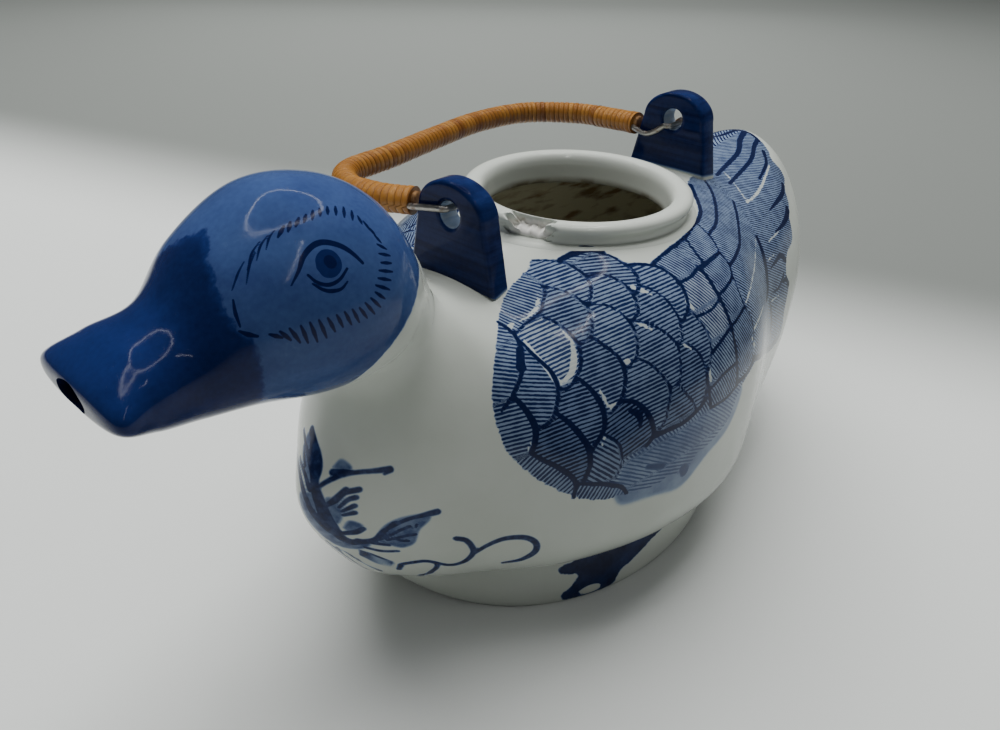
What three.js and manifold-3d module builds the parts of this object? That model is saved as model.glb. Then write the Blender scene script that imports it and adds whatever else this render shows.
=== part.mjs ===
// Duck-shaped porcelain teapot with a rattan-wrapped cane bail that swings over its back.
// Millimetres, +Z up. The origin is on the table, under the middle of the mouth.
// The beak points along -X, the tail along +X, and the duck's left wing lies on -Y.

import * as THREE from "three";
import { mergeVertices } from "three/addons/utils/BufferGeometryUtils.js";
import Module from "manifold-3d";

const wasm = await Module();
wasm.setup();

// Porcelain
const WALL = 4.5; // thickness of the cast walls
const SEAM = 0.3; // joint between two pieces that are luted together

// Lines of the two hollow forms. Each row is one section across the duck: its place along X,
// the heights of its back, of its widest level and of its underside, its half width there,
// and how full the section is above and below (2 is an ellipse, more is squarer).
const BODY_LINES = [
  [-110, 51, 51, 51, 0, 1.9, 2],
  [-100, 73.5, 50.5, 24.5, 16.5, 1.9, 2],
  [-87.5, 94, 50.5, 12.5, 30, 1.8, 2],
  [-72.5, 103, 49, 8, 42.5, 1.8, 2.1],
  [-55, 97.5, 45, 5.5, 56, 2.1, 2.2],
  [-26.5, 105.5, 41, 2, 65.5, 2.8, 2.3],
  [7, 107.5, 36.5, -0.5, 66, 3, 2.5],
  [40, 103.5, 39, 1.5, 57, 2.8, 2.5],
  [74.5, 100.5, 50, 9.5, 49.5, 2.4, 2.3],
  [101.5, 103, 59.5, 26.5, 39.5, 2, 2.1],
  [119.5, 101.5, 68.5, 45.5, 25.5, 1.85, 2],
  [127.5, 77.5, 77.5, 77.5, 0, 2, 2],
];
const HEAD_LINES = [
  [-152, 108.5, 108.5, 108.5, 0, 2.3, 2.3],
  [-151, 112, 108, 104.5, 15.5, 2.4, 2.3],
  [-143.5, 116, 107.5, 99, 15.5, 2.4, 2.3],
  [-133.5, 119, 108, 95, 15, 2.2, 2.1],
  [-123, 129, 111.5, 93.5, 20.5, 2.1, 2],
  [-108.5, 136.5, 113, 89.5, 25, 2, 2],
  [-95, 135.5, 111, 88.5, 25, 2, 2],
  [-84.5, 129.5, 108.5, 90, 20, 2, 2],
  [-77.5, 119, 106, 96.5, 13, 2, 2],
  [-71, 108.5, 108.5, 108.5, 0, 2, 2],
];

// Spout: an oval hole in the tip of the bill, and the way up the neck into the head
const SPOUT_HALF_WIDTH = 5.5;
const SPOUT_HALF_HEIGHT = 2.8;
const SPOUT_HEIGHT = 108.2;
const SPOUT_FLARE = 2.2; // how much wider the way is at its inner end
const SPOUT_DEPTH = 32;
const BILL_ROWS = 3; // rows of the head's lines that are the bill, solid but for the spout
const THROAT_RADIUS = 8;
const THROAT_LOW = new THREE.Vector3(-76, 0, 70);
const THROAT_HIGH = new THREE.Vector3(-86, 0, 108);

// Foot: an oval tray under the belly, closed by the table side
const FOOT_HEIGHT = 16;
const FOOT_MIDDLE_X = -8.5;
const FOOT_HALF_LENGTH = 71;
const FOOT_HALF_WIDTH = 57.5;
const FOOT_FLOOR = 5;
const FOOT_SETBACK = 1.2; // how far its top edge stands in from the belly

// Mouth and its collar with a rolled rim
const MOUTH_RADIUS = 28.5;
const COLLAR_RADIUS = 35;
const RIM_RISE = 6; // rim's crest over the back beside the collar
const RIM_ROLL_WIDTH = 7.5;
const RIM_ROLL_DROP = 3.2;
const RIM_ROLL_SHIFT = 0.4; // how far the roll stands out over the collar's middle
const RIM_ROLL_SWEEP = 225; // degrees of the roll, from the mouth over the crest
const NECKING = 1.2; // how far the collar draws in under the roll
const COLLAR_LET_IN = 4; // how deep the collar's foot is let into the back
const LEDGE_THICKNESS = 5;

// Lugs that carry the bail
const LUG_HALF_WIDTH = 11.8; // at the level of its eye
const LUG_CROWN = 8.8; // eye to the top
const LUG_SPLAY = 0.197; // growth of the half width for each millimetre below the eye
const LUG_ROOT = 30; // eye to below the back's surface, where the body trims it
const LUG_EDGE = 0.9;
const EYE_RADIUS = 3.5;
const FRONT_LUG_X = -52.6;
const FRONT_EYE_HEIGHT = 115.2;
const FRONT_LUG_THICKNESS = 7;
const REAR_LUG_X = 58.1;
const REAR_EYE_HEIGHT = 119.1;
const REAR_LUG_THICKNESS = 8.4;

// Bail: a bent cane, its wire loops and its rattan wrap, in the bail's own plane.
// A route point is its place along the hinge and its reach from the hinge.
const HINGE_HEIGHT = 117;
const REST_DROP = 2.8; // degrees below level, where the cane's ends meet the lugs
const CANE_SAG = 1.7; // the cane lies this far under the hinge at rest
const CANE_RADIUS = 2.6;
const CANE_ROUTE = [
  [-53.5, 14],
  [-57.8, 25.3],
  [-57.5, 37.8],
  [-49.2, 49.5],
  [-28.7, 53],
  [-3.7, 58.2],
  [21.2, 62.1],
  [43, 58.1],
  [55, 41.5],
  [56.2, 25.8],
  [56, 14],
];
const WIRE_RADIUS = 0.9;
const WIRE_BEND = 2; // bend where the wire turns into the eye
const WIRE_TURN_IN = 1; // the leg leaves the cane this far short of the binding
const WIRE_CLEARANCE = 0.65; // between the wire's leg and the face of the lug
const LEG_LENGTH = 15.5; // of the wire beside the cane, under the binding
const FIT = 0.35; // clearance of everything wound or laid on the cane

const STRIP_THICKNESS = 0.9;
const STRIP_CROWN = 0.25; // how much thicker the strip is in its middle
const WRAP_LOOPS = 24;
const WRAP_GAP = 0.75;
const BINDING_LOOPS = 4;
const BINDING_GAP = 0.7;
const BINDING_START = 4; // from the cane's cut end
const BINDING_LENGTH = 14;

// Faces round a section and along a form
const BODY_SIDES = 40;
const HEAD_SIDES = 32;
const CAVITY_SIDES = 24;
const RINGS_PER_LINE = 2.4;
const ROUND_SIDES = 48;
const CANE_SIDES = 10;
const CANE_RINGS = 72;
const WIRE_SIDES = 4;
const WIRE_STEPS = 44;
const LOOP_STEPS = 16;
const BINDING_STEPS = 14;
const RIM_ROLL_STEPS = 10;
const EDGE_STEPS = 2;
const CROWN_STEPS = 20;
const LOOKUP_STEPS = 2000; // places looked at to find one along a loft
const CANE_LOOKUP_STEPS = 800;
const WELD = 1e-4; // corners this close are one
const BLOCK_SIZE = 400; // a block that is larger than the pot

// Solids and their joins

// A closed solid for cutting and joining, from a geometry that is closed.
function solid(geometry) {
  const bare = geometry.index ? geometry.toNonIndexed() : geometry.clone();
  bare.deleteAttribute("normal");
  bare.deleteAttribute("uv");
  const merged = mergeVertices(bare, WELD);
  return new wasm.Manifold(
    new wasm.Mesh({
      numProp: 3,
      vertProperties: merged.attributes.position.array,
      triVerts: new Uint32Array(merged.index.array),
    }),
  );
}

// The geometry of a solid.
function shape(made) {
  const mesh = made.getMesh();
  const geometry = new THREE.BufferGeometry();
  geometry.setAttribute("position", new THREE.BufferAttribute(mesh.vertProperties, 3));
  geometry.setIndex(new THREE.BufferAttribute(mesh.triVerts, 1));
  return geometry;
}

// The closed skin over a row of rings, each with as many points, closed by a fan at either end.
function skin(rings, first = centre(rings[0]), last = centre(rings.at(-1))) {
  const sides = rings[0].length;
  const points = [...rings.flat(), first, last];
  const faces = [];
  for (let i = 0; i < rings.length - 1; i++) {
    for (let j = 0; j < sides; j++) {
      const here = i * sides + j;
      const next = i * sides + ((j + 1) % sides);
      faces.push(here, here + sides, next, next, here + sides, next + sides);
    }
  }
  const top = (rings.length - 1) * sides;
  for (let j = 0; j < sides; j++) {
    const k = (j + 1) % sides;
    faces.push(j, k, points.length - 2);
    faces.push(top + k, top + j, points.length - 1);
  }
  const geometry = new THREE.BufferGeometry().setFromPoints(points);
  geometry.setIndex(faces);
  return facingOut(geometry);
}

function centre(ring) {
  return ring.reduce((sum, p) => sum.add(p), new THREE.Vector3()).divideScalar(ring.length);
}

// The geometry with its faces turned round if they point inwards.
function facingOut(geometry) {
  const p = geometry.attributes.position;
  const order = geometry.index.array;
  const [a, b, c] = [new THREE.Vector3(), new THREE.Vector3(), new THREE.Vector3()];
  let volume = 0;
  for (let i = 0; i < order.length; i += 3) {
    a.fromBufferAttribute(p, order[i]);
    b.fromBufferAttribute(p, order[i + 1]);
    c.fromBufferAttribute(p, order[i + 2]);
    volume += a.dot(b.cross(c));
  }
  if (volume < 0) {
    for (let i = 0; i < order.length; i += 3) {
      [order[i + 1], order[i + 2]] = [order[i + 2], order[i + 1]];
    }
  }
  return geometry;
}

// A round bar between two points.
function bar(from, to, radius, sides = ROUND_SIDES) {
  const length = from.distanceTo(to);
  const geometry = new THREE.CylinderGeometry(radius, radius, length, sides);
  const turn = new THREE.Quaternion().setFromUnitVectors(
    new THREE.Vector3(0, 1, 0),
    to.clone().sub(from).normalize(),
  );
  geometry.applyQuaternion(turn);
  const middle = from.clone().add(to).multiplyScalar(0.5);
  return geometry.translate(middle.x, middle.y, middle.z);
}

function upright(x, y, low, high, radius) {
  return bar(new THREE.Vector3(x, y, low), new THREE.Vector3(x, y, high), radius);
}

// Lofts over a table of lines

// The same lines drawn in by a wall, or let out by a negative one.
function inset(lines, wall) {
  const last = lines.length - 1;
  return lines.map(([x, top, wide, low, half, up, down], i) => {
    const tip = i === 0 || i === last ? 0 : 1;
    const along = x + wall * Math.cos((Math.PI * i) / last);
    return [along, top - wall * tip, wide, low + wall * tip, half - wall * tip, up, down];
  });
}

// The line at a place t in the table, a smooth curve through its rows. Past either tip the
// form turns over, so its back follows its underside and the tip comes out round.
function lineAt(lines, t) {
  const last = lines.length - 1;
  const i = Math.min(Math.floor(t), last - 1);
  const row = (k) => {
    if (k >= 0 && k <= last) return lines[k];
    const [x, top, wide, low, half, up, down] = lines[k < 0 ? -k : 2 * last - k];
    return [x, low, wide, top, -half, down, up];
  };
  const [a, b, c, d] = [row(i - 1), row(i), row(i + 1), row(i + 2)];
  const s = t - i;
  return b.map((_, k) => {
    const slope = c[k] - a[k];
    const bend = 2 * a[k] - 5 * b[k] + 4 * c[k] - d[k];
    const twist = -a[k] + 3 * b[k] - 3 * c[k] + d[k];
    return 0.5 * (2 * b[k] + slope * s + bend * s * s + twist * s * s * s);
  });
}

// The section of a line: two half superellipses that share their widest level.
function section([x, top, wide, low, half, up, down], sides) {
  return Array.from({ length: sides }, (_, j) => {
    const angle = (2 * Math.PI * j) / sides;
    const c = Math.cos(angle);
    const s = Math.sin(angle);
    const fullness = s >= 0 ? up : down;
    const height = s >= 0 ? top - wide : wide - low;
    const k = (Math.abs(c) ** fullness + Math.abs(s) ** fullness) ** (1 / fullness);
    return new THREE.Vector3(x, (half * c) / k, wide + (height * s) / k);
  });
}

// The same lines with a tip in place of the first section.
function closedFront([[x, top, wide, low, , up, down], ...rest]) {
  const middle = (top + low) / 2;
  return [[x, middle, middle, middle, 0, up, down], ...rest];
}

function loft(lines, sides) {
  const last = lines.length - 1;
  const count = Math.round(last * RINGS_PER_LINE);
  const rings = [];
  for (let i = 0; i < count; i++) {
    const t = (last * (i + 0.5)) / count;
    rings.push(section(lineAt(lines, t), sides));
  }
  const tip = (row) => new THREE.Vector3(row[0], 0, row[2]);
  return skin(rings, tip(lines[0]), tip(lines[last]));
}

// A table's lines at close steps along it.
function manyLines(lines) {
  const last = lines.length - 1;
  return Array.from({ length: LOOKUP_STEPS + 1 }, (_, i) => lineAt(lines, (last * i) / LOOKUP_STEPS));
}

// Half the width of a loft at a height, for each of many places along it.
function widthsAt(lines, height) {
  const widths = [];
  for (const [x, top, wide, low, half, up, down] of manyLines(lines)) {
    if (height >= top || height <= low) continue;
    const fullness = height >= wide ? up : down;
    const reach = height >= wide ? (height - wide) / (top - wide) : (wide - height) / (wide - low);
    widths.push([x, half * (1 - reach ** fullness) ** (1 / fullness)]);
  }
  return widths;
}

// The height of a loft's back over a place.
function backOver(lines, x, y) {
  const [, top, wide, , half, up] = manyLines(lines).reduce((best, line) =>
    Math.abs(line[0] - x) < Math.abs(best[0] - x) ? line : best,
  );
  return wide + (top - wide) * (1 - (y / half) ** up) ** (1 / up);
}

// Body, head and foot

const backAtCollar = backOver(BODY_LINES, 0, COLLAR_RADIUS);
const rimHeight = backAtCollar + RIM_RISE;
const ledgeHeight = backAtCollar - COLLAR_LET_IN;

const bodyOuter = solid(loft(BODY_LINES, BODY_SIDES));
const bodyCavity = solid(loft(inset(BODY_LINES, WALL), CAVITY_SIDES));
const bodyForLugs = solid(loft(inset(BODY_LINES, -SEAM), BODY_SIDES));
const headOuter = solid(loft(HEAD_LINES, HEAD_SIDES));
const headForNeck = solid(loft(inset(HEAD_LINES, -SEAM), HEAD_SIDES));
const headCavity = solid(loft(inset(closedFront(HEAD_LINES.slice(BILL_ROWS)), WALL), CAVITY_SIDES));
const throat = solid(bar(THROAT_LOW, THROAT_HIGH, THROAT_RADIUS, CAVITY_SIDES));

// Everything above a level.
function above(level) {
  const block = new THREE.BoxGeometry(BLOCK_SIZE, BLOCK_SIZE, BLOCK_SIZE);
  return solid(block.translate(0, 0, level + BLOCK_SIZE / 2));
}

function bodyShell() {
  const ledgeFloor = ledgeHeight - LEDGE_THICKNESS;
  const ledge = solid(upright(0, 0, ledgeFloor, rimHeight, COLLAR_RADIUS + WALL));
  const mouth = solid(upright(0, 0, ledgeFloor - WALL, rimHeight, MOUTH_RADIUS));
  const seat = solid(upright(0, 0, ledgeHeight, rimHeight, COLLAR_RADIUS + SEAM));
  return bodyOuter
    .intersect(above(FOOT_HEIGHT + SEAM))
    .subtract(bodyCavity.subtract(ledge))
    .subtract(headForNeck)
    .subtract(throat)
    .subtract(mouth)
    .subtract(seat);
}

function headSpout() {
  const tip = HEAD_LINES[0][0];
  const hole = new THREE.CylinderGeometry(1, SPOUT_FLARE, SPOUT_DEPTH, CAVITY_SIDES);
  hole.rotateZ(Math.PI / 2).scale(1, SPOUT_HALF_HEIGHT, SPOUT_HALF_WIDTH).rotateX(Math.PI / 2);
  hole.translate(tip + SPOUT_DEPTH / 2 - 1, 0, SPOUT_HEIGHT);
  return headOuter.subtract(headCavity).subtract(throat).subtract(solid(hole));
}

// The foot's outline follows the belly at its top edge and is a plain oval on the table.
const belly = widthsAt(BODY_LINES, FOOT_HEIGHT);
function footRing(share, inward, height) {
  const front = belly[0][0];
  const rear = belly.at(-1)[0];
  return Array.from({ length: ROUND_SIDES }, (_, j) => {
    const angle = (2 * Math.PI * j) / ROUND_SIDES;
    const reach = Math.cos(angle) < 0 ? FOOT_MIDDLE_X - front : rear - FOOT_MIDDLE_X;
    const bellyX = FOOT_MIDDLE_X + reach * Math.cos(angle);
    const nearest = belly.reduce((a, b) =>
      Math.abs(b[0] - bellyX) < Math.abs(a[0] - bellyX) ? b : a,
    );
    const topX = bellyX - (FOOT_SETBACK + inward) * Math.cos(angle);
    const topY = Math.sign(Math.sin(angle)) * Math.max(nearest[1] - FOOT_SETBACK - inward, 0);
    const lowX = FOOT_MIDDLE_X + (FOOT_HALF_LENGTH - inward) * Math.cos(angle);
    const lowY = (FOOT_HALF_WIDTH - inward) * Math.sin(angle);
    const mix = THREE.MathUtils.lerp;
    return new THREE.Vector3(mix(lowX, topX, share), mix(lowY, topY, share), height);
  });
}

function basePlinth() {
  const levels = [0, 0.25, 0.5, 0.75, 1];
  const outer = levels.map((share) => footRing(share, 0, FOOT_HEIGHT * share));
  const pocketLevels = [FOOT_FLOOR, FOOT_HEIGHT / 2, FOOT_HEIGHT, FOOT_HEIGHT + SEAM];
  const pocket = pocketLevels.map((z) => footRing(Math.min(z / FOOT_HEIGHT, 1), WALL, z));
  return solid(skin(outer)).subtract(solid(skin(pocket)));
}

// Collar, turned round the axis of the mouth
function collarRing() {
  const middle = (MOUTH_RADIUS + COLLAR_RADIUS) / 2 + RIM_ROLL_SHIFT;
  const roll = RIM_ROLL_WIDTH / 2;
  const foot = ledgeHeight + SEAM;
  const profile = [new THREE.Vector2(MOUTH_RADIUS, foot)];
  for (let i = 0; i <= RIM_ROLL_STEPS; i++) {
    const angle = THREE.MathUtils.degToRad(180 - (RIM_ROLL_SWEEP * i) / RIM_ROLL_STEPS);
    const x = middle + roll * Math.cos(angle);
    profile.push(new THREE.Vector2(x, rimHeight - RIM_ROLL_DROP * (1 - Math.sin(angle))));
  }
  profile.push(new THREE.Vector2(COLLAR_RADIUS - NECKING, rimHeight - 2 * RIM_ROLL_DROP));
  profile.push(new THREE.Vector2(COLLAR_RADIUS, (foot + rimHeight - 2 * RIM_ROLL_DROP) / 2));
  profile.push(new THREE.Vector2(COLLAR_RADIUS, foot));
  profile.push(profile[0].clone());
  const turned = new THREE.LatheGeometry(profile, ROUND_SIDES).rotateX(Math.PI / 2);
  return solid(closedLathe(turned));
}

// A lathe with its seam closed and its faces out.
function closedLathe(turned) {
  turned.deleteAttribute("normal");
  turned.deleteAttribute("uv");
  return facingOut(mergeVertices(turned, WELD));
}

// Lugs: arched slabs across the back, trimmed to it and pierced by an eye
function lug(x, eyeHeight, thickness) {
  const outline = new THREE.Shape();
  const rootHalf = LUG_HALF_WIDTH + LUG_SPLAY * LUG_ROOT;
  outline.moveTo(-rootHalf, -LUG_ROOT);
  outline.lineTo(rootHalf, -LUG_ROOT);
  outline.lineTo(LUG_HALF_WIDTH, 0);
  outline.absellipse(0, 0, LUG_HALF_WIDTH, LUG_CROWN, 0, Math.PI, false, 0);
  outline.lineTo(-rootHalf, -LUG_ROOT);
  const slab = new THREE.ExtrudeGeometry(outline, {
    depth: thickness - 2 * LUG_EDGE,
    bevelThickness: LUG_EDGE,
    bevelSize: LUG_EDGE,
    bevelOffset: -LUG_EDGE,
    bevelSegments: EDGE_STEPS,
    curveSegments: CROWN_STEPS,
  });
  slab.translate(0, 0, LUG_EDGE - thickness / 2);
  slab.rotateY(Math.PI / 2).rotateX(Math.PI / 2);
  slab.translate(x, 0, eyeHeight);
  const eye = bar(
    new THREE.Vector3(x - thickness, 0, eyeHeight),
    new THREE.Vector3(x + thickness, 0, eyeHeight),
    EYE_RADIUS,
    CAVITY_SIDES,
  );
  return solid(slab).subtract(solid(eye)).subtract(bodyForLugs);
}

// Bail

const cane = new THREE.CatmullRomCurve3(
  CANE_ROUTE.map(([x, reach]) => new THREE.Vector3(x, reach, -CANE_SAG)),
);
cane.arcLengthDivisions = CANE_LOOKUP_STEPS;
const CANE_LENGTH = cane.getLength();

// A point beside the cane: its distance along the cane from the front end, and its offsets
// in the bail's plane and square to that plane.
function besideCane(along, inPlane, up) {
  const u = THREE.MathUtils.clamp(along / CANE_LENGTH, 0, 1);
  const tangent = cane.getTangentAt(u);
  const side = new THREE.Vector3(-tangent.y, tangent.x, 0);
  const point = cane.getPointAt(u);
  return point.addScaledVector(side, inPlane).add(new THREE.Vector3(0, 0, up));
}

function caneCore() {
  const rings = [];
  for (let i = 0; i <= CANE_RINGS; i++) {
    const along = (CANE_LENGTH * i) / CANE_RINGS;
    rings.push(
      Array.from({ length: CANE_SIDES }, (_, j) => {
        const angle = (2 * Math.PI * j) / CANE_SIDES;
        return besideCane(along, CANE_RADIUS * Math.cos(angle), CANE_RADIUS * Math.sin(angle));
      }),
    );
  }
  return skin(rings);
}

// A wire loop: up one leg beside the cane, along the lug's face, through the eye and back.
// It starts at the front end of the cane, or at the rear end.
function wireLoop(lugX, thickness, atRear) {
  const face = thickness / 2 + WIRE_CLEARANCE + WIRE_RADIUS;
  const legOffset = CANE_RADIUS + FIT + WIRE_RADIUS;
  const from = (distance) => (atRear ? CANE_LENGTH - distance : distance);
  const legEnd = BINDING_START - WIRE_TURN_IN;
  const legSpots = [1, 0.75, 0.5, 0.25, 0].map((share) => legEnd + share * (LEG_LENGTH - legEnd));
  const flank = CANE_ROUTE[0][1] - FIT - WIRE_TURN_IN;
  const alongFace = (reach) => new THREE.Vector3(
    lugX,
    reach,
    (-CANE_SAG * (reach - WIRE_BEND)) / (flank - WIRE_BEND),
  );
  const leg = (side) => {
    const turned = atRear ? -side : side;
    return [
      ...legSpots.map((along) => besideCane(from(along), -turned * legOffset, 0)),
      ...[flank, flank / 2].map((reach) => alongFace(reach).add(new THREE.Vector3(side * face, 0, 0))),
      ...[90, 60, 30, 0].map((degrees) => {
        const angle = THREE.MathUtils.degToRad(degrees);
        const out = face - WIRE_BEND * (1 - Math.sin(angle));
        return new THREE.Vector3(lugX + side * out, WIRE_BEND * (1 - Math.cos(angle)), 0);
      }),
    ];
  };
  const route = [...leg(-1), ...leg(1).reverse()];
  const curve = new THREE.CatmullRomCurve3(route, false, "centripetal");
  const round = new THREE.Shape().absarc(0, 0, WIRE_RADIUS, 0, 2 * Math.PI, false);
  return new THREE.ExtrudeGeometry(round, {
    steps: WIRE_STEPS,
    curveSegments: WIRE_SIDES,
    extrudePath: curve,
  });
}

// A strip wound on the cane as one unbroken tube. Its inner outline is an ellipse with the
// given half width in the bail's plane and half height square to it.
function winding(start, length, loops, gap, halfWidth, halfHeight, stepsPerLoop) {
  const half = (length - loops * gap) / (loops + 1) / 2;
  const steps = loops * stepsPerLoop;
  const rings = [];
  for (let i = 0; i <= steps; i++) {
    const angle = (2 * Math.PI * i) / stepsPerLoop;
    const along = start + half + ((length - 2 * half) * i) / steps;
    const at = (shift, rise) =>
      besideCane(
        along + shift,
        (halfWidth + rise) * Math.cos(angle),
        (halfHeight + rise) * Math.sin(angle),
      );
    rings.push([
      at(-half, 0),
      at(0, 0),
      at(half, 0),
      at(half, STRIP_THICKNESS - STRIP_CROWN),
      at(0, STRIP_THICKNESS),
      at(-half, STRIP_THICKNESS - STRIP_CROWN),
    ]);
  }
  return { rings, geometry: skin(rings) };
}

// The least gap between neighbouring turns of a winding, measured from edge to edge.
function leastGap(rings, stepsPerLoop) {
  let least = Infinity;
  for (let i = 0; i + stepsPerLoop < rings.length; i++) {
    for (const outer of [2, 3]) {
      for (let shift = -2; shift <= 2; shift++) {
        const other = rings[i + stepsPerLoop + shift];
        if (!other) continue;
        least = Math.min(least, rings[i][outer].distanceTo(other[0]));
        least = Math.min(least, rings[i][outer].distanceTo(other[5]));
      }
    }
  }
  return least;
}

const innerHeight = CANE_RADIUS + FIT;
const bindingWidth = CANE_RADIUS + 2 * FIT + 2 * WIRE_RADIUS;
const wrapStart = BINDING_START + BINDING_LENGTH + BINDING_GAP;
const windings = {
  handle_wrap: winding(
    wrapStart,
    CANE_LENGTH - 2 * wrapStart,
    WRAP_LOOPS,
    WRAP_GAP,
    innerHeight,
    innerHeight,
    LOOP_STEPS,
  ),
  front_end_binding: winding(
    BINDING_START,
    BINDING_LENGTH,
    BINDING_LOOPS,
    BINDING_GAP,
    bindingWidth,
    innerHeight,
    BINDING_STEPS,
  ),
  rear_end_binding: winding(
    CANE_LENGTH - BINDING_START - BINDING_LENGTH,
    BINDING_LENGTH,
    BINDING_LOOPS,
    BINDING_GAP,
    bindingWidth,
    innerHeight,
    BINDING_STEPS,
  ),
};
for (const [name, made] of Object.entries(windings)) {
  const steps = name === "handle_wrap" ? LOOP_STEPS : BINDING_STEPS;
  console.log(name + ": least gap between turns", leastGap(made.rings, steps).toFixed(2), "mm");
}

// Colours and the assembled pot

const glaze = (color) => new THREE.MeshStandardMaterial({ color, roughness: 0.12 });
const whiteGlaze = 0xd9ddd6;
const cobaltGlaze = 0x24407f;
const lugGlaze = 0x14265c;
const steel = () =>
  new THREE.MeshStandardMaterial({ color: 0x8d8f8c, roughness: 0.45, metalness: 0.9 });
const rattan = () => new THREE.MeshStandardMaterial({ color: 0xb9762c, roughness: 0.6 });
const caneSkin = () => new THREE.MeshStandardMaterial({ color: 0xa9783f, roughness: 0.7 });

function piece(name, geometry, material) {
  const mesh = new THREE.Mesh(geometry, material);
  mesh.name = name;
  return mesh;
}

const pot = new THREE.Group();
pot.add(
  piece("body_shell", shape(bodyShell()), glaze(whiteGlaze)),
  piece("head_spout", shape(headSpout()), glaze(cobaltGlaze)),
  piece("collar_ring", shape(collarRing()), glaze(whiteGlaze)),
  piece("base_plinth", shape(basePlinth()), glaze(whiteGlaze)),
  piece(
    "front_lug",
    shape(lug(FRONT_LUG_X, FRONT_EYE_HEIGHT, FRONT_LUG_THICKNESS)),
    glaze(lugGlaze),
  ),
  piece(
    "rear_lug",
    shape(lug(REAR_LUG_X, REAR_EYE_HEIGHT, REAR_LUG_THICKNESS)),
    glaze(lugGlaze),
  ),
);

const bail = new THREE.Group();
bail.position.z = HINGE_HEIGHT;
bail.rotation.x = THREE.MathUtils.degToRad(-REST_DROP);
bail.add(
  piece("front_wire_loop", wireLoop(FRONT_LUG_X, FRONT_LUG_THICKNESS, false), steel()),
  piece("rear_wire_loop", wireLoop(REAR_LUG_X, REAR_LUG_THICKNESS, true), steel()),
  piece("handle_core", caneCore(), caneSkin()),
);
for (const [name, made] of Object.entries(windings)) {
  bail.add(piece(name, made.geometry, rattan()));
}

const teapot = new THREE.Group();
teapot.name = "duck_teapot";
teapot.add(pot, bail);

export default teapot;
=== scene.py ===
import math
import bpy
import numpy as np
from mathutils import Matrix


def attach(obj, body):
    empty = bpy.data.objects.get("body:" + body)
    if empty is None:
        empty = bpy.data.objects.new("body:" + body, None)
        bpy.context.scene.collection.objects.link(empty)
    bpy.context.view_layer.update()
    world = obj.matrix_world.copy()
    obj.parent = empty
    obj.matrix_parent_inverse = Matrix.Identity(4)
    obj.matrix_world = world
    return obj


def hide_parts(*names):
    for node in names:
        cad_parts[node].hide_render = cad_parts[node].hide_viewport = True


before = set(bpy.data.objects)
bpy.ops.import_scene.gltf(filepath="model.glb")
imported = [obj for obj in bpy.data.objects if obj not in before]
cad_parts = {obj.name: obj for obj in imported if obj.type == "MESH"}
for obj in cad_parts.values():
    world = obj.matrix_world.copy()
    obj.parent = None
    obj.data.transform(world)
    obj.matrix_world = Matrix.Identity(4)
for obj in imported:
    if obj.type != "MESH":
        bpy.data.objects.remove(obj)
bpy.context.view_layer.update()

# A duck-shaped porcelain teapot with a rattan-wrapped bail. The bill points along -X and
# the wing that the camera sees lies on -Y. Sizes are in millimetres up to the last step
# that makes a mesh, where MM turns them into metres.
MM = 0.001

# Each row of a form: place along X, height of the back, of the widest level and of the
# underside, half width, and how full the section is above and below.
BODY_LINES = [
    [-110, 51, 51, 51, 0, 1.9, 2],
    [-100, 73.5, 50.5, 24.5, 16.5, 1.9, 2],
    [-87.5, 94, 50.5, 12.5, 30, 1.8, 2],
    [-72.5, 103, 49, 8, 42.5, 1.8, 2.1],
    [-55, 97.5, 45, 5.5, 56, 2.1, 2.2],
    [-26.5, 105.5, 41, 2, 65.5, 2.8, 2.3],
    [7, 107.5, 36.5, -0.5, 66, 3, 2.5],
    [40, 103.5, 39, 1.5, 57, 2.8, 2.5],
    [74.5, 100.5, 50, 9.5, 49.5, 2.4, 2.3],
    [101.5, 103, 59.5, 26.5, 39.5, 2, 2.1],
    [119.5, 101.5, 68.5, 45.5, 25.5, 1.85, 2],
    [127.5, 77.5, 77.5, 77.5, 0, 2, 2],
]
HEAD_LINES = [
    [-152, 108.5, 108.5, 108.5, 0, 2.3, 2.3],
    [-151, 112, 108, 104.5, 15.5, 2.4, 2.3],
    [-143.5, 116, 107.5, 99, 15.5, 2.4, 2.3],
    [-133.5, 119, 108, 95, 15, 2.2, 2.1],
    [-123, 129, 111.5, 93.5, 20.5, 2.1, 2],
    [-108.5, 136.5, 113, 89.5, 25, 2, 2],
    [-95, 135.5, 111, 88.5, 25, 2, 2],
    [-84.5, 129.5, 108.5, 90, 20, 2, 2],
    [-77.5, 119, 106, 96.5, 13, 2, 2],
    [-71, 108.5, 108.5, 108.5, 0, 2, 2],
]
WALL = 4.5
FOOT_HEIGHT = 16
MOUTH_HOLE = 31
HINGE_HEIGHT = 117
REST_DROP = 2.8
CANE_SAG = 1.7
CANE_RADIUS = 2.6
CANE_ROUTE = [(-53.5, 14), (-57.8, 25.3), (-57.5, 37.8), (-49.2, 49.5), (-28.7, 53),
              (-3.7, 58.2), (21.2, 62.1), (43, 58.1), (55, 41.5), (56.2, 25.8), (56, 14)]
WIRE_RADIUS = 0.9
STRIP_PITCH = 1.9
STRIP_THICKNESS = 0.9
BRUSH_LEAN = 35
HATCH = 1.04
FINE_HATCH = 0.94
HATCH_SHIFT = 0.37
SPRIG_SCALE = 1.3


# Forms.

def through(a, b, c, d, s):
    """A smooth curve's points between b and c, where a comes before and d after."""
    bend = 2 * a - 5 * b + 4 * c - d
    twist = 3 * b - a - 3 * c + d
    return 0.5 * (2 * b + (c - a) * s + bend * s ** 2 + twist * s ** 3)


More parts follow.
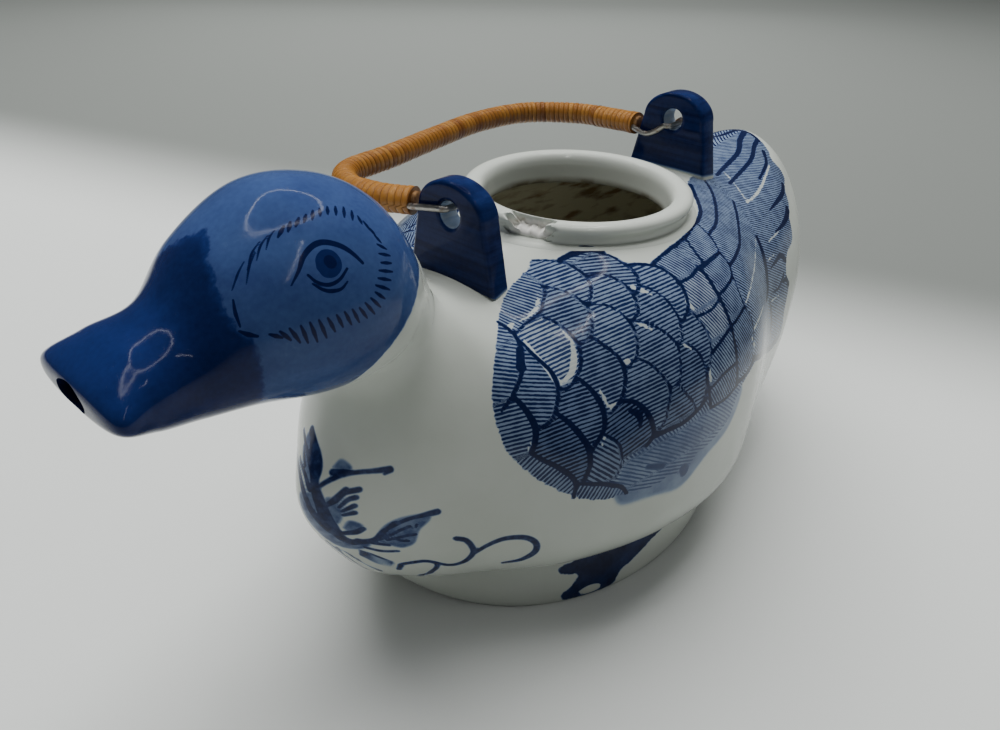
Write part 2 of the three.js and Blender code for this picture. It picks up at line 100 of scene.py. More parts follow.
def lines_at(lines, places):
    """A form's lines at places along its table, turned over past either tip."""
    rows = np.array(lines, float)
    order = [0, 3, 2, 1, 4, 6, 5]
    front = rows[2:0:-1][:, order]
    rear = rows[-2:-4:-1][:, order]
    front[:, 4] *= -1
    rear[:, 4] *= -1
    rows = np.vstack([front, rows, rear])
    i = np.clip(np.floor(places).astype(int), 0, len(lines) - 2)
    s = (places - i)[:, None]
    return through(rows[i + 1], rows[i + 2], rows[i + 3], rows[i + 4], s)


def tips_of(lines):
    """The two points where a form ends."""
    return [(lines[0][0], 0, lines[0][1]), (lines[-1][0], 0, lines[-1][1])]


def sections(rows, angles):
    """Points of the sections of a form, ring by ring."""
    x, top, wide, low, half, up, down = [rows[:, k][:, None] for k in range(7)]
    c, s = np.cos(angles)[None], np.sin(angles)[None]
    fullness = np.where(s >= 0, up, down)
    height = np.where(s >= 0, top - wide, wide - low)
    k = (np.abs(c) ** fullness + np.abs(s) ** fullness) ** (1 / fullness)
    return np.stack([x + 0 * k, half * c / k, wide + height * s / k], -1)


def depth(lines, points):
    """Roughly how far points lie outside a form; negative inside it."""
    table = np.linspace(0, len(lines) - 1, 400)
    x = lines_at(lines, table)[:, 0]
    clipped = np.clip(points[:, 0], x.min() + 1e-3, x.max() - 1e-3)
    rows = lines_at(lines, np.interp(clipped, x, table))
    top, wide, low, half, up, down = [rows[:, k] for k in range(1, 7)]
    rise = points[:, 2] - wide
    height = np.maximum(np.where(rise >= 0, top - wide, wide - low), 0.5)
    fullness = np.where(rise >= 0, up, down)
    half = np.maximum(half, 0.5)
    a, b = np.abs(points[:, 1]) / half, np.abs(rise) / height
    m = np.maximum((a ** fullness + b ** fullness) ** (1 / fullness), 1e-6)
    reach = 1 / np.sqrt((a / m / half) ** 2 + (b / m / height) ** 2 + 1e-9)
    return (m - 1) * np.minimum(reach, 60) + np.abs(points[:, 0] - clipped)


def even_places(lines, count, busy=None):
    """Places along a form's table for even rings, closer where the form is busy."""
    table = np.linspace(0, len(lines) - 1, 4000)
    rows = lines_at(lines, table)
    step = np.linalg.norm(np.diff(rows[:, [0, 1, 3, 4]], axis=0), axis=1)
    if busy:
        step *= np.where((rows[1:, 0] > busy[0]) & (rows[1:, 0] < busy[1]), busy[2], 1)
    run = np.concatenate([[0], np.cumsum(step)])
    return np.interp((np.arange(count) + 0.5) / count * run[-1], run, table)


def even_angles(lines, place, count, painted=None):
    """Angles round a section, closer together over its painted sides."""
    dense = np.linspace(0, 2 * np.pi, 4000)
    ring = sections(lines_at(lines, np.array([place])), dense)[0]
    step = np.linalg.norm(np.diff(ring, axis=0), axis=1)
    if painted:
        low, high, near_side, far_side, under = painted
        side = np.where(ring[1:, 1] < 0, near_side, far_side)
        top = np.where(ring[1:, 1] < 0, 1.5, 0.6)
        step *= np.where(ring[1:, 2] > high, top, np.where(ring[1:, 2] < low, under, side))
    run = np.concatenate([[0], np.cumsum(step)])
    return np.interp(np.arange(count) / count * run[-1], run, dense)


def back_at(x, y):
    """Height of the duck's back over places near the mouth."""
    table = np.linspace(0, len(BODY_LINES) - 1, 2000)
    rows = lines_at(BODY_LINES, table)
    top, wide, half, up = [np.interp(x, rows[:, 0], rows[:, k]) for k in (1, 2, 4, 5)]
    return wide + (top - wide) * (1 - np.minimum(np.abs(y) / half, 1) ** up) ** (1 / up)


def smooth_route(points, count):
    """Evenly spaced points on a smooth curve through a few."""
    p = np.array(points, float)
    p = np.vstack([2 * p[0] - p[1], p, 2 * p[-1] - p[-2]])
    t = np.linspace(0, len(points) - 1, 40 * len(points))
    i = np.minimum(t.astype(int), len(points) - 2)
    s = (t - i)[:, None]
    curve = through(p[i], p[i + 1], p[i + 2], p[i + 3], s)
    run = np.concatenate([[0], np.cumsum(np.linalg.norm(np.diff(curve, axis=0), axis=1))])
    even = np.linspace(0, run[-1], count)
    return np.stack([np.interp(even, run, curve[:, k]) for k in range(p.shape[1])], 1)


# Meshes.

def only(piece):
    """Selects one object alone."""
    bpy.ops.object.select_all(action="DESELECT")
    piece.select_set(True)
    bpy.context.view_layer.objects.active = piece


def mesh_piece(name, points, faces):
    """A mesh object from points in millimetres."""
    data = bpy.data.meshes.new(name)
    data.from_pydata((np.asarray(points) * MM).tolist(), [], faces)
    data.update()
    piece = bpy.data.objects.new(name, data)
    bpy.context.scene.collection.objects.link(piece)
    return piece


def ring_quads(count, sides, closed=False):
    """Faces between rings of points; closed joins the last ring to the first."""
    i, j = np.meshgrid(np.arange(count if closed else count - 1), np.arange(sides), indexing="ij")
    ahead = (i + 1) % count * sides
    k = (j + 1) % sides
    quads = np.stack([i * sides + j, ahead + j, ahead + k, i * sides + k], -1)
    return quads.reshape(-1, 4).tolist()


def turn_outward(piece):
    """Makes every face of a closed mesh look out."""
    only(piece)
    bpy.ops.object.mode_set(mode="EDIT")
    bpy.ops.mesh.select_all(action="SELECT")
    bpy.ops.mesh.normals_make_consistent(inside=False)
    bpy.ops.object.mode_set(mode="OBJECT")


def curve_piece(name, curve, place=None):
    """A mesh object from a drawn curve."""
    piece = bpy.data.objects.new(name, curve)
    bpy.context.scene.collection.objects.link(piece)
    if place is not None:
        piece.matrix_world = place
    only(piece)
    bpy.ops.object.convert(target="MESH")
    return bpy.context.object


def skin(name, rings, tips):
    """A closed mesh over rings of points, with a tip at either end."""
    count, sides = rings.shape[:2]
    points = np.vstack([rings.reshape(-1, 3), tips])
    j = np.arange(sides)
    k = (j + 1) % sides
    last = (count - 1) * sides
    first_fan = np.stack([j, k, np.full(sides, count * sides)], -1)
    last_fan = np.stack([last + k, last + j, np.full(sides, count * sides + 1)], -1)
    faces = ring_quads(count, sides) + first_fan.tolist() + last_fan.tolist()
    piece = mesh_piece(name, points, faces)
    turn_outward(piece)
    return piece


def cut(piece, cutter):
    """Takes one closed mesh out of another."""
    step = piece.modifiers.new("cut", "BOOLEAN")
    step.operation = "DIFFERENCE"
    step.solver = "MANIFOLD"
    step.object = cutter
    only(piece)
    bpy.ops.object.modifier_apply(modifier=step.name)
    bpy.data.objects.remove(cutter)


def smooth(piece, degrees=40):
    only(piece)
    bpy.ops.object.shade_smooth_by_angle(angle=math.radians(degrees))


def places_of(piece):
    """A mesh's points in millimetres."""
    flat = np.zeros(len(piece.data.vertices) * 3, np.float32)
    piece.data.vertices.foreach_get("co", flat)
    return flat.reshape(-1, 3).astype(float) / MM


def move_to(piece, points):
    piece.data.vertices.foreach_set("co", (points * MM).astype(np.float32).ravel())
    piece.data.update()


def mark(piece, name, values):
    """Keeps a value for each point of a mesh, for its material."""
    layer = piece.data.attributes.new(name, "FLOAT", "POINT")
    layer.data.foreach_set("value", np.asarray(values, np.float32))


def finish_piece(piece, body, nodes, material):
    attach(piece, body)
    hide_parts(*nodes)
    piece.data.materials.clear()
    piece.data.materials.append(material)


# Brush work: distances in millimetres, negative inside a stroke.

FAR = 9.0


def stroke(places, route, widths):
    """Distance of places to the edge of a brush stroke along a route."""
    found = np.full(len(places), FAR)
    line = smooth_route(route, max(8, 5 * len(route))) if len(route) > 2 else np.array(route, float)
    wide = np.interp(np.linspace(0, 1, len(line)), np.linspace(0, 1, len(widths)), widths)
    low, high = line.min(0) - FAR, line.max(0) + FAR
    near = np.flatnonzero(np.all((places > low) & (places < high), axis=1))
    p = places[near]
    best = np.full(len(near), FAR)
    for k in range(len(line) - 1):
        a, b = line[k], line[k + 1]
        run = b - a
        t = np.clip((p - a) @ run / max(run @ run, 1e-9), 0, 1)
        off = np.linalg.norm(p - a - t[:, None] * run, axis=1)
        best = np.minimum(best, off - 0.5 * (wide[k] + t * (wide[k + 1] - wide[k])))
    found[near] = best
    return found


def strokes(places, rows):
    """The least distance to any of several strokes."""
    found = np.full(len(places), FAR)
    for widths, route in rows:
        found = np.minimum(found, stroke(places, route, widths))
    return found


def patch(places, outline, rounded=True):
    """Distance of places to the edge of a painted patch; negative inside."""
    closed = list(outline) + [outline[0]]
    line = smooth_route(closed, 5 * len(closed)) if rounded else np.array(closed, float)
    best = np.full(len(places), 1e9)
    inside = np.zeros(len(places), bool)
    for a, b in zip(line[:-1], line[1:]):
        run = b - a
        t = np.clip((places - a) @ run / max(run @ run, 1e-9), 0, 1)
        best = np.minimum(best, np.linalg.norm(places - a - t[:, None] * run, axis=1))
        crosses = (a[1] > places[:, 1]) != (b[1] > places[:, 1])
        rise = np.where(abs(run[1]) > 1e-9, run[1], 1e-9)
        inside ^= crosses & (places[:, 0] < a[0] + run[0] * (places[:, 1] - a[1]) / rise)
    return np.where(inside, -best, best)


# The wing, drawn on a plane that leans 35 degrees: a runs along the duck, b up its side.
# Each feather: direction of its hatching in degrees, how dark it is (partly more pigment and
# partly painted shade that darkens the lower feathers), width of its edge, and the edge that
# ends it towards the tail, from top to bottom.
FEATHERS = [
    (-34, 0.35, 1.5, [(-60, 64.5), (-59, 60.3), (-60.7, 55.9), (-64.4, 51.2), (-68.9, 47.3)]),
    (-62, 0.25, 0.9, [(-43.1, 72.5), (-43.4, 68.4), (-44.6, 66.2), (-46.8, 64.2), (-49.7, 62.1),
     (-54, 61.3), (-59, 60.2)]),
    (-14, 0.4, 1.7, [(-68.9, 47.3), (-67.9, 44.6), (-67.1, 40.9), (-66.9, 37.6), (-67.7, 34.7),
     (-69.2, 32.2)]),
    (28, 0.45, 1.4, [(-69.3, 31.9), (-67.5, 29.2), (-65.1, 25.9), (-62.7, 22.2), (-61.6, 18.9),
     (-62.3, 15.5)]),
    (50, 0.45, 1.3, [(-61.6, 18.9), (-58, 16.6), (-55.5, 15.2), (-53, 13.4), (-50.3, 11.2),
     (-49, 8.6)]),
    (-30, 0.5, 1.3, [(-59.2, 59.5), (-58.4, 53), (-57.4, 49), (-57.4, 46.5), (-58.1, 43.5),
     (-60.1, 40.5), (-62.9, 37.4), (-66.5, 36.9)]),
    (-6, 0.8, 1.7, [(-61, 38.2), (-58.7, 32.9), (-57.5, 28.5), (-57.1, 25.5), (-57.8, 21.9),
     (-59.6, 18.9)]),
    (-2, 0.1, 1.1, [(-50, 61.4), (-48.4, 57.6), (-47.9, 53), (-48.4, 50.4), (-50, 46.8),
     (-52.6, 44.2), (-55.6, 42.7), (-58, 43.3)]),
    (-10, 0.65, 1.5, [(-52.9, 44), (-52.2, 42.5), (-51.4, 39.8), (-50.8, 36.2), (-51, 32.5),
     (-51.9, 29.6), (-53.4, 27.7), (-55.2, 26.3), (-56.9, 24.9)]),
    (-52, 0.5, 1.0, [(-52.4, 27.6), (-50, 23.7), (-49.7, 20), (-50.4, 17.1), (-51.9, 15.3)]),
    (-8, 0.45, 0.9, [(-43, 67.4), (-41.2, 64), (-40.4, 60.3), (-40.8, 57.4), (-42.3, 54.5),
     (-44.2, 51.9), (-47.5, 50.6)]),
    (-6, 0.3, 1.0, [(-38.7, 74.8), (-36.5, 73.1), (-34.9, 71), (-34.3, 68.4), (-34.8, 64.7),
     (-36.8, 61.4), (-39.8, 58.9)]),
    (-3, 0.25, 0.9, [(-39.8, 58.9), (-36.8, 56.7), (-35.7, 54.1), (-35.2, 50.8), (-35.4, 47.9),
     (-36.5, 44.9), (-38.3, 42), (-40.5, 40.8), (-42.6, 39.3)]),
    (-5, 0.5, 1.2, [(-44.4, 51.5), (-43.6, 48.6), (-42.5, 45.3), (-42.2, 42.7), (-42.7, 39.4),
     (-44.2, 36.2), (-46.4, 33.6), (-49.4, 31.8)]),
    (-3, 0.45, 1.0, [(-38.4, 41.4), (-36.1, 38.4), (-34.6, 34.7), (-33.5, 31), (-33.9, 28.5),
     (-35.7, 24.8), (-36.5, 23), (-40.1, 20.6)]),
    (9, 0.8, 1.6, [(-46, 33.3), (-43.8, 32.1), (-42, 29.6), (-40.7, 25.9), (-40.3, 22.2),
     (-41, 20.2), (-43, 19)]),
    (-22, 0.5, 1.2, [(-26.2, 69.9), (-24.5, 66.9), (-24, 63.6), (-24.2, 60.7), (-25.8, 58.1),
     (-28.8, 55.9)]),
    (-6, 0.35, 1.1, [(-34.6, 65.1), (-31.7, 64.7), (-29.9, 61.8), (-29.3, 58.5), (-29.9, 55.2),
     (-31.3, 52.3), (-33.2, 50.9), (-35, 50.6)]),
    (-2, 0.45, 1.0, [(-26.6, 57.4), (-24.7, 55.9), (-23.3, 53), (-22.5, 49.3), (-22.7, 45.7),
     (-24, 42.4), (-24.8, 40.5), (-26.9, 39.1)]),
    (-1, 0.45, 1.0, [(-33.5, 49.8), (-31.3, 47.9), (-29.1, 44.6), (-27.7, 41.3), (-27.3, 38.4),
     (-28.4, 34.7), (-29.9, 31), (-32.4, 30.2)]),
    (-2, 0.6, 1.1, [(-24.4, 38.8), (-22.5, 36.5), (-20.9, 33.2), (-20.3, 29.9), (-20.7, 26.3),
     (-22.2, 22.6), (-24.7, 20.4)]),
    (0, 0.65, 0.9, [(-30.6, 29.9), (-29.1, 26.6), (-27.3, 23.7), (-26.2, 20.8)]),
    (-4, 0.4, 1.3, [(-23.3, 63.4), (-18.9, 61.1), (-16.3, 58.5), (-15.2, 54.5), (-15.6, 50.8),
     (-17.4, 47.1), (-20.3, 45), (-22.5, 44.1)]),
    (-3, 0.45, 1.0, [(-17.8, 45.8), (-16.7, 42), (-15.7, 38.4), (-15.9, 34.3), (-17.4, 31),
     (-20, 27.6)]),
    (-64, 0.3, 0.5, [(-4.9, 62.2), (-4.4, 58), (-4.6, 54)]),
    (-61, 0.15, 0.9, [(-4.6, 53.5), (-4.3, 49), (-4.6, 44.5)]),
    (-62, 0.15, 0.9, [(-4.6, 44), (-4.3, 40), (-4.8, 35.5)]),
    (-58, 0.35, 0.9, [(-4.9, 35), (-4.4, 30), (-5.2, 25)]),
    (-60, 0.5, 0.9, [(-5.2, 24.6), (-4.8, 21), (-5.4, 17.5)]),
    (-58, 0.25, 1.2, [(12.8, 64), (11.6, 58.5), (9.4, 54.6)]),
    (-62, 0.4, 1.3, [(9.3, 54), (9.4, 50.5), (7.6, 47.3)]),
    (-60, 0.35, 1.0, [(7.4, 47), (6.5, 42), (6.6, 37.5)]),
    (-57, 0.5, 1.0, [(6.8, 37), (9, 33), (8.8, 28), (7, 25), (6.4, 21)]),
    (-37, 0.3, 0.0, [(62, 88), (56, 70), (50, 60), (45.5, 50), (43.5, 44), (40, 38), (34, 31),
     (32, 10)]),
    (-23, 0.35, 0.0, [(120, 95), (120, 5)]),
]
WING_EDGE = [
    (-43.4, 72.8), (-50, 70.6), (-56, 67.2), (-61, 64), (-66, 60), (-70, 55.5), (-73, 49.5),
    (-74.3, 43), (-74.2, 37), (-72.8, 32), (-70.5, 27), (-67, 21.5), (-63.5, 17), (-60, 13.5),
    (-55, 10.5), (-50, 8.8), (-45, 7), (-40, 6), (-35, 6), (-32, 4.5), (-30, 2.9), (-27.5, 4),
    (-25, 7), (-20, 7), (-13, 8.5), (-8, 10.5), (-6, 13.5), (0, 17.3), (5, 18.5), (10, 19.7),
    (20, 17.7), (30, 15.7), (40, 12.8), (50, 10.6), (58, 10.4), (62, 11.5), (62.3, 15),
    (60.5, 18.5), (62.5, 23), (66, 28), (63, 32), (65, 36), (70, 38.7), (78, 40), (82, 42.5),
    (86, 48.5), (92, 52), (97, 58), (104.5, 61), (106, 65), (105.5, 69.5), (109, 73), (112, 78),
    (114, 83), (115, 90), (68, 90), (65.5, 81), (58, 77.6), (50, 76.6), (42, 74.8), (30, 69.3),
    (15, 65), (0, 62.3), (-14, 61.4), (-16.8, 59.5), (-19, 61.6), (-23.6, 63.9), (-24.4, 67),
    (-25.4, 70.4), (-29, 72.2), (-34.2, 72.2), (-36.5, 73.8), (-38.7, 75.1), (-41, 73.6),
]
# Brush strokes over the wing: widths along a stroke, and its route.
WING_STROKES = [
    ([1.2, 1.6, 2.6, 1.8], [(-34, 72), (-30, 71.9), (-27, 71.6), (-25, 69.6)]),
    ([0.9, 1.1], [(-72.1, 45.3), (-68.8, 47.3)]),
    ([2.6, 1.6], [(-63.5, 52.6), (-61, 56.5)]),
    ([1.3, 1.2, 1.3], [(-41, 20.4), (-35, 19.7), (-31, 19.3), (-25, 20.2), (-22, 21.6)]),
    ([0.8, 1.4], [(-20.2, 27), (-20.3, 23.5), (-19.8, 18.4)]),
    ([1.3, 1.6, 1.0], [(-44.8, 30), (-43.2, 27.5), (-43.6, 25)]),
    ([0.9, 0.9], [(-16.9, 60.8), (-8, 61.8), (2, 62.7), (14, 64.9)]),
    ([1.0, 1.0], [(-16.5, 32.2), (-10.7, 33.7), (-5.3, 35)]),
    ([0.7, 0.7], [(-17, 43.2), (-10, 42.6), (-5, 43.8)]),
    ([0.8, 0.9], [(-16, 53.2), (-10, 53), (-5, 54)]),
    ([0.9, 0.9], [(-19, 23.4), (-12, 24.6), (-5.5, 24.8)]),
    ([0.8, 0.9], [(-20, 18), (-12, 17.2), (-5, 18.2)]),
    ([1.5, 1.3, 1.4], [(-4.6, 54), (-4.2, 50), (-4.4, 46), (-4.4, 35), (-4.8, 24), (-5.4, 19)]),
    ([0.9, 1.2], [(1.4, 62.6), (-0.4, 59), (-1.6, 54.4)]),
    ([1.3, 1.0], [(-3.5, 53.6), (3, 54), (9.3, 54.4)]),
    ([0.9, 0.9], [(-4.4, 44.8), (0.5, 45.2), (6, 46.4), (8, 47.6)]),
    ([0.8, 0.9], [(-4.5, 35.2), (0.5, 35.9), (6.6, 37.4)]),
    ([1.3, 1.4], [(-5.5, 19), (0, 18.6), (5, 19.8), (9, 21.4)]),
    ([1.5, 1.7, 2.4, 2.0], [(7, 21.5), (14, 19.3), (25, 17.5), (35, 14.8), (45, 12.4), (55, 11.5),
     (60, 11.6)]),
    ([2.2, 3.2, 2.8, 1.2], [(45.6, 50), (44, 45), (41, 39), (37.5, 34), (33, 31)]),
    ([1.6, 2.4, 1.4], [(38, 30), (40, 24), (40.5, 17)]),
    ([1.0, 1.2, 1.0], [(9, 49.6), (18, 50.8), (28, 52.6), (40, 57.6), (52, 64)]),
    ([0.9, 1.1, 0.9], [(13, 60), (25, 61.6), (38, 65.6), (50, 71), (58, 76)]),
    ([1.0, 1.3], [(14, 64.4), (25, 66.8), (37, 71.8), (44, 74.8)]),
    ([0.9, 1.3, 1.5], [(66, 73.5), (80, 75.3), (92, 77.5), (103, 81.5), (112, 84)]),
    ([0.9, 1.2, 1.5], [(64, 69), (78, 70.6), (92, 73), (104, 77), (111, 79)]),
    ([0.8, 1.2, 1.6], [(84, 65.6), (92, 67.5), (100, 70), (106, 74)]),
    ([0.4, 1.6, 2.2], [(70, 54.5), (82, 55.5), (92, 57), (98, 59.5)]),
    ([0.4, 1.8, 3.0], [(64, 47.4), (74, 47.6), (83, 49), (88, 51)]),
    ([0.4, 1.4, 2.6], [(46, 38.6), (54, 39.2), (60, 39.6), (64.5, 37)]),
    ([1.0, 2.4], [(57, 31), (62, 30.6), (65, 28)]),
    ([0.5, 1.2], [(44, 31), (52, 30.5), (60, 33)]),
    ([1.5, 1.5], [(112.5, 86), (113.2, 83), (111.2, 78.5)]),
]
PALE_STROKES = [
    ([0.5, 1.2, 1.6, 0.9], [(-48.9, 56), (-49, 52), (-50.9, 48.3), (-53.6, 45.4), (-56.6, 44.6)]),
    ([1.6, 0.8], [(-57.4, 44.7), (-58, 52), (-58.1, 58)]),
    ([0.4, 1.1, 0.4], [(-46, 66.3), (-49.7, 63.3), (-55, 62.3)]),
    ([0.9, 1.6], [(-57, 62.8), (-58.8, 62)]),
    ([0.5, 0.9, 0.6], [(-50, 40), (-49.6, 36), (-50, 32.6)]),
    ([1.5, 0.4], [(-33.2, 49), (-31.5, 46.2)]),
    ([1.6, 0.4], [(-27, 56.6), (-25.4, 54)]),
    ([0.5, 1.4, 0.4], [(-28.8, 58.6), (-27.8, 57.4), (-28.4, 56.8)]),
    ([1.4, 0.4], [(-24.8, 38.6), (-23.4, 36.5)]),
    ([1.7, 0.8], [(-48.3, 33), (-46, 33.2)]),
    ([0.9, 1.3], [(-41.7, 42.3), (-40.7, 41.8)]),
    ([1.4, 0.5], [(-17, 48), (-16.2, 44.5)]),
    ([1.0, 1.1], [(-18.4, 29.5), (-19.2, 25.5)]),
    ([1.2, 0.5], [(-52.8, 27.2), (-53.8, 25.4)]),
    ([0.5, 0.9], [(-68.4, 35), (-69.6, 33)]),
    ([0.9, 0.7, 0.5], [(8, 38), (18, 41), (30, 44), (40, 48), (47, 51.6)]),
    ([1.0, 0.6], [(8.8, 29.2), (16, 30.2), (26, 31.6)]),
    ([1.1, 1.0], [(7.3, 27.5), (8.6, 24.4)]),
    ([0.9, 1.0, 0.8], [(59, 61), (70, 61.4), (80, 62.9), (90, 65.6), (99, 68.2)]),
    ([0.5, 0.7, 0.4], [(54, 46.4), (66, 46.8), (80, 48.4)]),
    ([0.5, 0.5], [(45.5, 41.5), (54, 41.5)]),
    ([0.7, 0.4], [(41, 29), (52, 28)]),
    ([0.8, 0.8], [(60, 61.5), (65, 66.5), (72, 73)]),
    ([0.4, 0.7], [(-16.6, 59), (-15, 55.8)]),
]
WASH_EDGE = [
    (-53, 11), (-49.5, 17.5), (-44, 19.5), (-40, 20), (-35, 19), (-30, 18.8), (-25, 19.6),
    (-20.5, 18.6), (-12, 17.4), (-3, 17.6), (-2, 14), (-9, 7), (-20, 4), (-30, 0), (-40, 3),
    (-50, 6),
]
WASH_BLOBS = [
    ([3.4, 4.2], [(-30.4, 5.6), (-29.4, 4.4)]),
    ([1.4, 1.6], [(-24.2, 14.8), (-23.2, 13.6)]),
    ([0.7, 1.1, 0.7], [(-25.5, 17.5), (-26.2, 13), (-29, 9)]),
    ([2.0, 2.6], [(-43, 13), (-38, 10.5)]),
]
# The sprig on the breast: u runs round the breast, 1.3 mm for a degree, and v is height.
SPRIG_STROKES = [
    ([2.2, 3.4, 1.6], [(-4.5, 69), (-1, 66.7), (2, 63.8), (2.6, 60.5)]),
    ([0.8, 1.4, 2.6, 3.4, 2.4], [(-9.2, 66.6), (-3.5, 65), (1.3, 61.7), (3.2, 57.8), (5.1, 53.3),
     (6.5, 47.4), (8, 42.5), (10.3, 40.8)]),
    ([0.6, 1.0, 1.2], [(-6, 61.4), (-1.2, 60.3), (1.8, 57.4)]),
    ([0.8, 1.6, 2.4], [(-10.5, 60), (-3.5, 58.8), (0.4, 55.2), (2.7, 50.8), (6, 45)]),
    ([0.7, 0.9], [(-6, 66), (-4, 63.4), (-2, 62)]),
    ([0.7, 0.9], [(-3.5, 67.6), (-1, 64.6), (0.4, 62.6)]),
    ([0.7, 1.0, 0.8, 0.9, 1.4], [(3.6, 58.6), (5.8, 60.9), (8.4, 62.7), (11.8, 64), (16, 65),
     (20.2, 65.9)]),
    ([1.3, 0.5], [(20.4, 65.7), (19, 64.6)]),
    ([1.4, 2.0, 0.8], [(6.4, 63.2), (8.6, 63.4), (11, 64)]),
    ([1.0, 1.7, 1.3], [(5.4, 53.6), (8, 56), (10.2, 59.2)]),
    ([0.7, 1.1, 1.3], [(7.8, 55.2), (9.8, 58.2), (13.2, 59.6)]),
    ([0.7, 0.9, 1.2], [(9, 54), (10.8, 56.4), (12.6, 57.3)]),
    ([0.7, 1.1], [(9.6, 52.8), (12.4, 54.8)]),
    ([0.7, 1.1], [(9.8, 51.6), (12.4, 52.6)]),
    ([1.2, 1.7, 1.3], [(9, 44.6), (12, 45.6), (13.8, 47)]),
    ([2.4, 1.5, 1.2, 1.1, 1.7], [(10.3, 40.8), (16, 42.6), (19.2, 47), (24.4, 50.8), (29, 52.4),
     (32.8, 53.5)]),
    ([0.8, 1.0], [(17.4, 42.9), (22.2, 46.6), (25.4, 48.6)]),
    ([0.8, 1.2], [(19.4, 43), (23.6, 44.8), (26.6, 45.7)]),
    ([0.6, 1.0], [(18.6, 45), (20.8, 49), (22, 50)]),
    ([0.6, 1.1], [(21, 44), (22.8, 43), (24.6, 43)]),
    ([0.9, 0.6], [(27.5, 49.3), (26.6, 47.8)]),
    ([1.4, 0.8], [(12, 42), (16, 41.4), (19.6, 41)]),
    ([0.8, 0.7], [(10, 37.4), (14.2, 35.6), (18.8, 32.4)]),
    ([0.7, 0.6], [(11, 34.8), (14.5, 31.6), (18.4, 29)]),
    ([0.7, 0.6], [(8.4, 31), (12.4, 27.5), (17, 21.6)]),
    ([0.8, 0.6], [(13, 39), (17, 38), (21.5, 38.4)]),
    ([0.8, 0.7], [(5, 36), (9, 31), (13, 25)]),
    ([0.8, 0.7], [(2.6, 38), (5, 31), (8, 24)]),
]
SPRIG_LEAVES = [
    [(16, 42.6), (18.6, 48), (23, 51.6), (28.4, 53), (31, 53.4), (30.8, 50.8), (28, 47.2),
     (26.2, 42), (22.8, 40), (19.6, 41)],
    [(4.8, 52), (6, 56.4), (8.6, 56), (9.8, 52.4), (8.6, 48.4), (6, 47.4)],
    [(9.3, 47), (11, 49.8), (13.8, 48.6), (13.8, 46.2), (11.2, 44.6)],
    [(6, 64.4), (7.4, 66.6), (9.4, 66.2), (10.8, 64.8), (9, 62.8)],
    [(-6, 68), (-2, 69), (2, 66), (3.4, 61), (3.6, 56), (-1, 60), (-6, 64)],
    [(2.2, 57), (6, 52), (9, 43), (15, 41.6), (12, 38), (5, 38), (0, 46), (-2, 54)],
]
TENDRILS = [
    ([1.0, 1.2, 1.2, 1.0], [(19, 27), (20.4, 30.8), (24.2, 32.4), (28.4, 33), (31, 30.6),
     (27.4, 24.6), (21.6, 20.6)]),
    ([1.0, 1.3, 1.6, 1.5], [(29.8, 32.6), (34.7, 30), (39.5, 31.7), (42.6, 36.2), (42, 40),
     (40.3, 42.5), (37.7, 43.3)]),
    ([1.1, 1.4, 1.8, 2.1, 1.0], [(42.4, 35.5), (47.2, 39.2), (52.8, 41.4), (59.4, 41),
     (63.4, 38.2), (63.4, 33.6), (58.6, 29.2), (52.3, 28)]),
]
# The leg and webbed foot on the foot of the pot: place along X, and height.
LEG_EDGE = [
    (6, 15.9), (-3, 15.9), (-12, 15.4), (-23, 15.6), (-30, 16), (-37, 15.9), (-45, 14.2),
    (-49, 13.3), (-52, 12.4), (-52.6, 11), (-51, 9.6), (-47.9, 8.9), (-47.7, 7.2), (-50.4, 4.6),
    (-53.6, 2.2), (-53, 0.9), (-49.5, 0.5), (-41, 0.4), (-36.6, 1.4), (-33.9, 4.5), (-28.2, 6.6),
    (-19.7, 10.9), (-11.8, 13.6), (-2.8, 15.2),
]
TOE_GAP = [
    (-49.5, 1.2), (-47.6, 2.7), (-44.6, 3.5), (-41.6, 2.9), (-41.4, 1.4), (-45, 0.9),
]
# The eye on the side of the head, on the same leaning plane as the wing.
EYE_STROKES = [
    ([0.5, 1.1, 1.4, 1.3, 0.9], [(-116.2, 90.5), (-113.9, 92.5), (-112, 94.5), (-109.7, 95.7),
     (-107.6, 95.8), (-105.6, 94.8), (-103.9, 93.3), (-102.6, 91.4), (-101.6, 89.4)]),
    ([0.7, 1.0, 0.7], [(-112.8, 91.1), (-111.9, 89.3), (-110.1, 88), (-107.7, 88.1),
     (-105.3, 89.5)]),
    ([0.6, 1.0, 0.6], [(-112.7, 89.3), (-111.4, 87.6), (-109.9, 86.7), (-108, 86.4),
     (-106.3, 87.2)]),
    ([2.6, 2.6], [(-108, 92), (-107.9, 91.6)]),
]
IRIS_EDGE = [
    (-111.1, 91.6), (-110.3, 93.6), (-108.4, 94.6), (-106.4, 93.8), (-105.6, 91.6), (-106.4, 89.6),
    (-108.4, 88.7), (-110.4, 89.5),
]
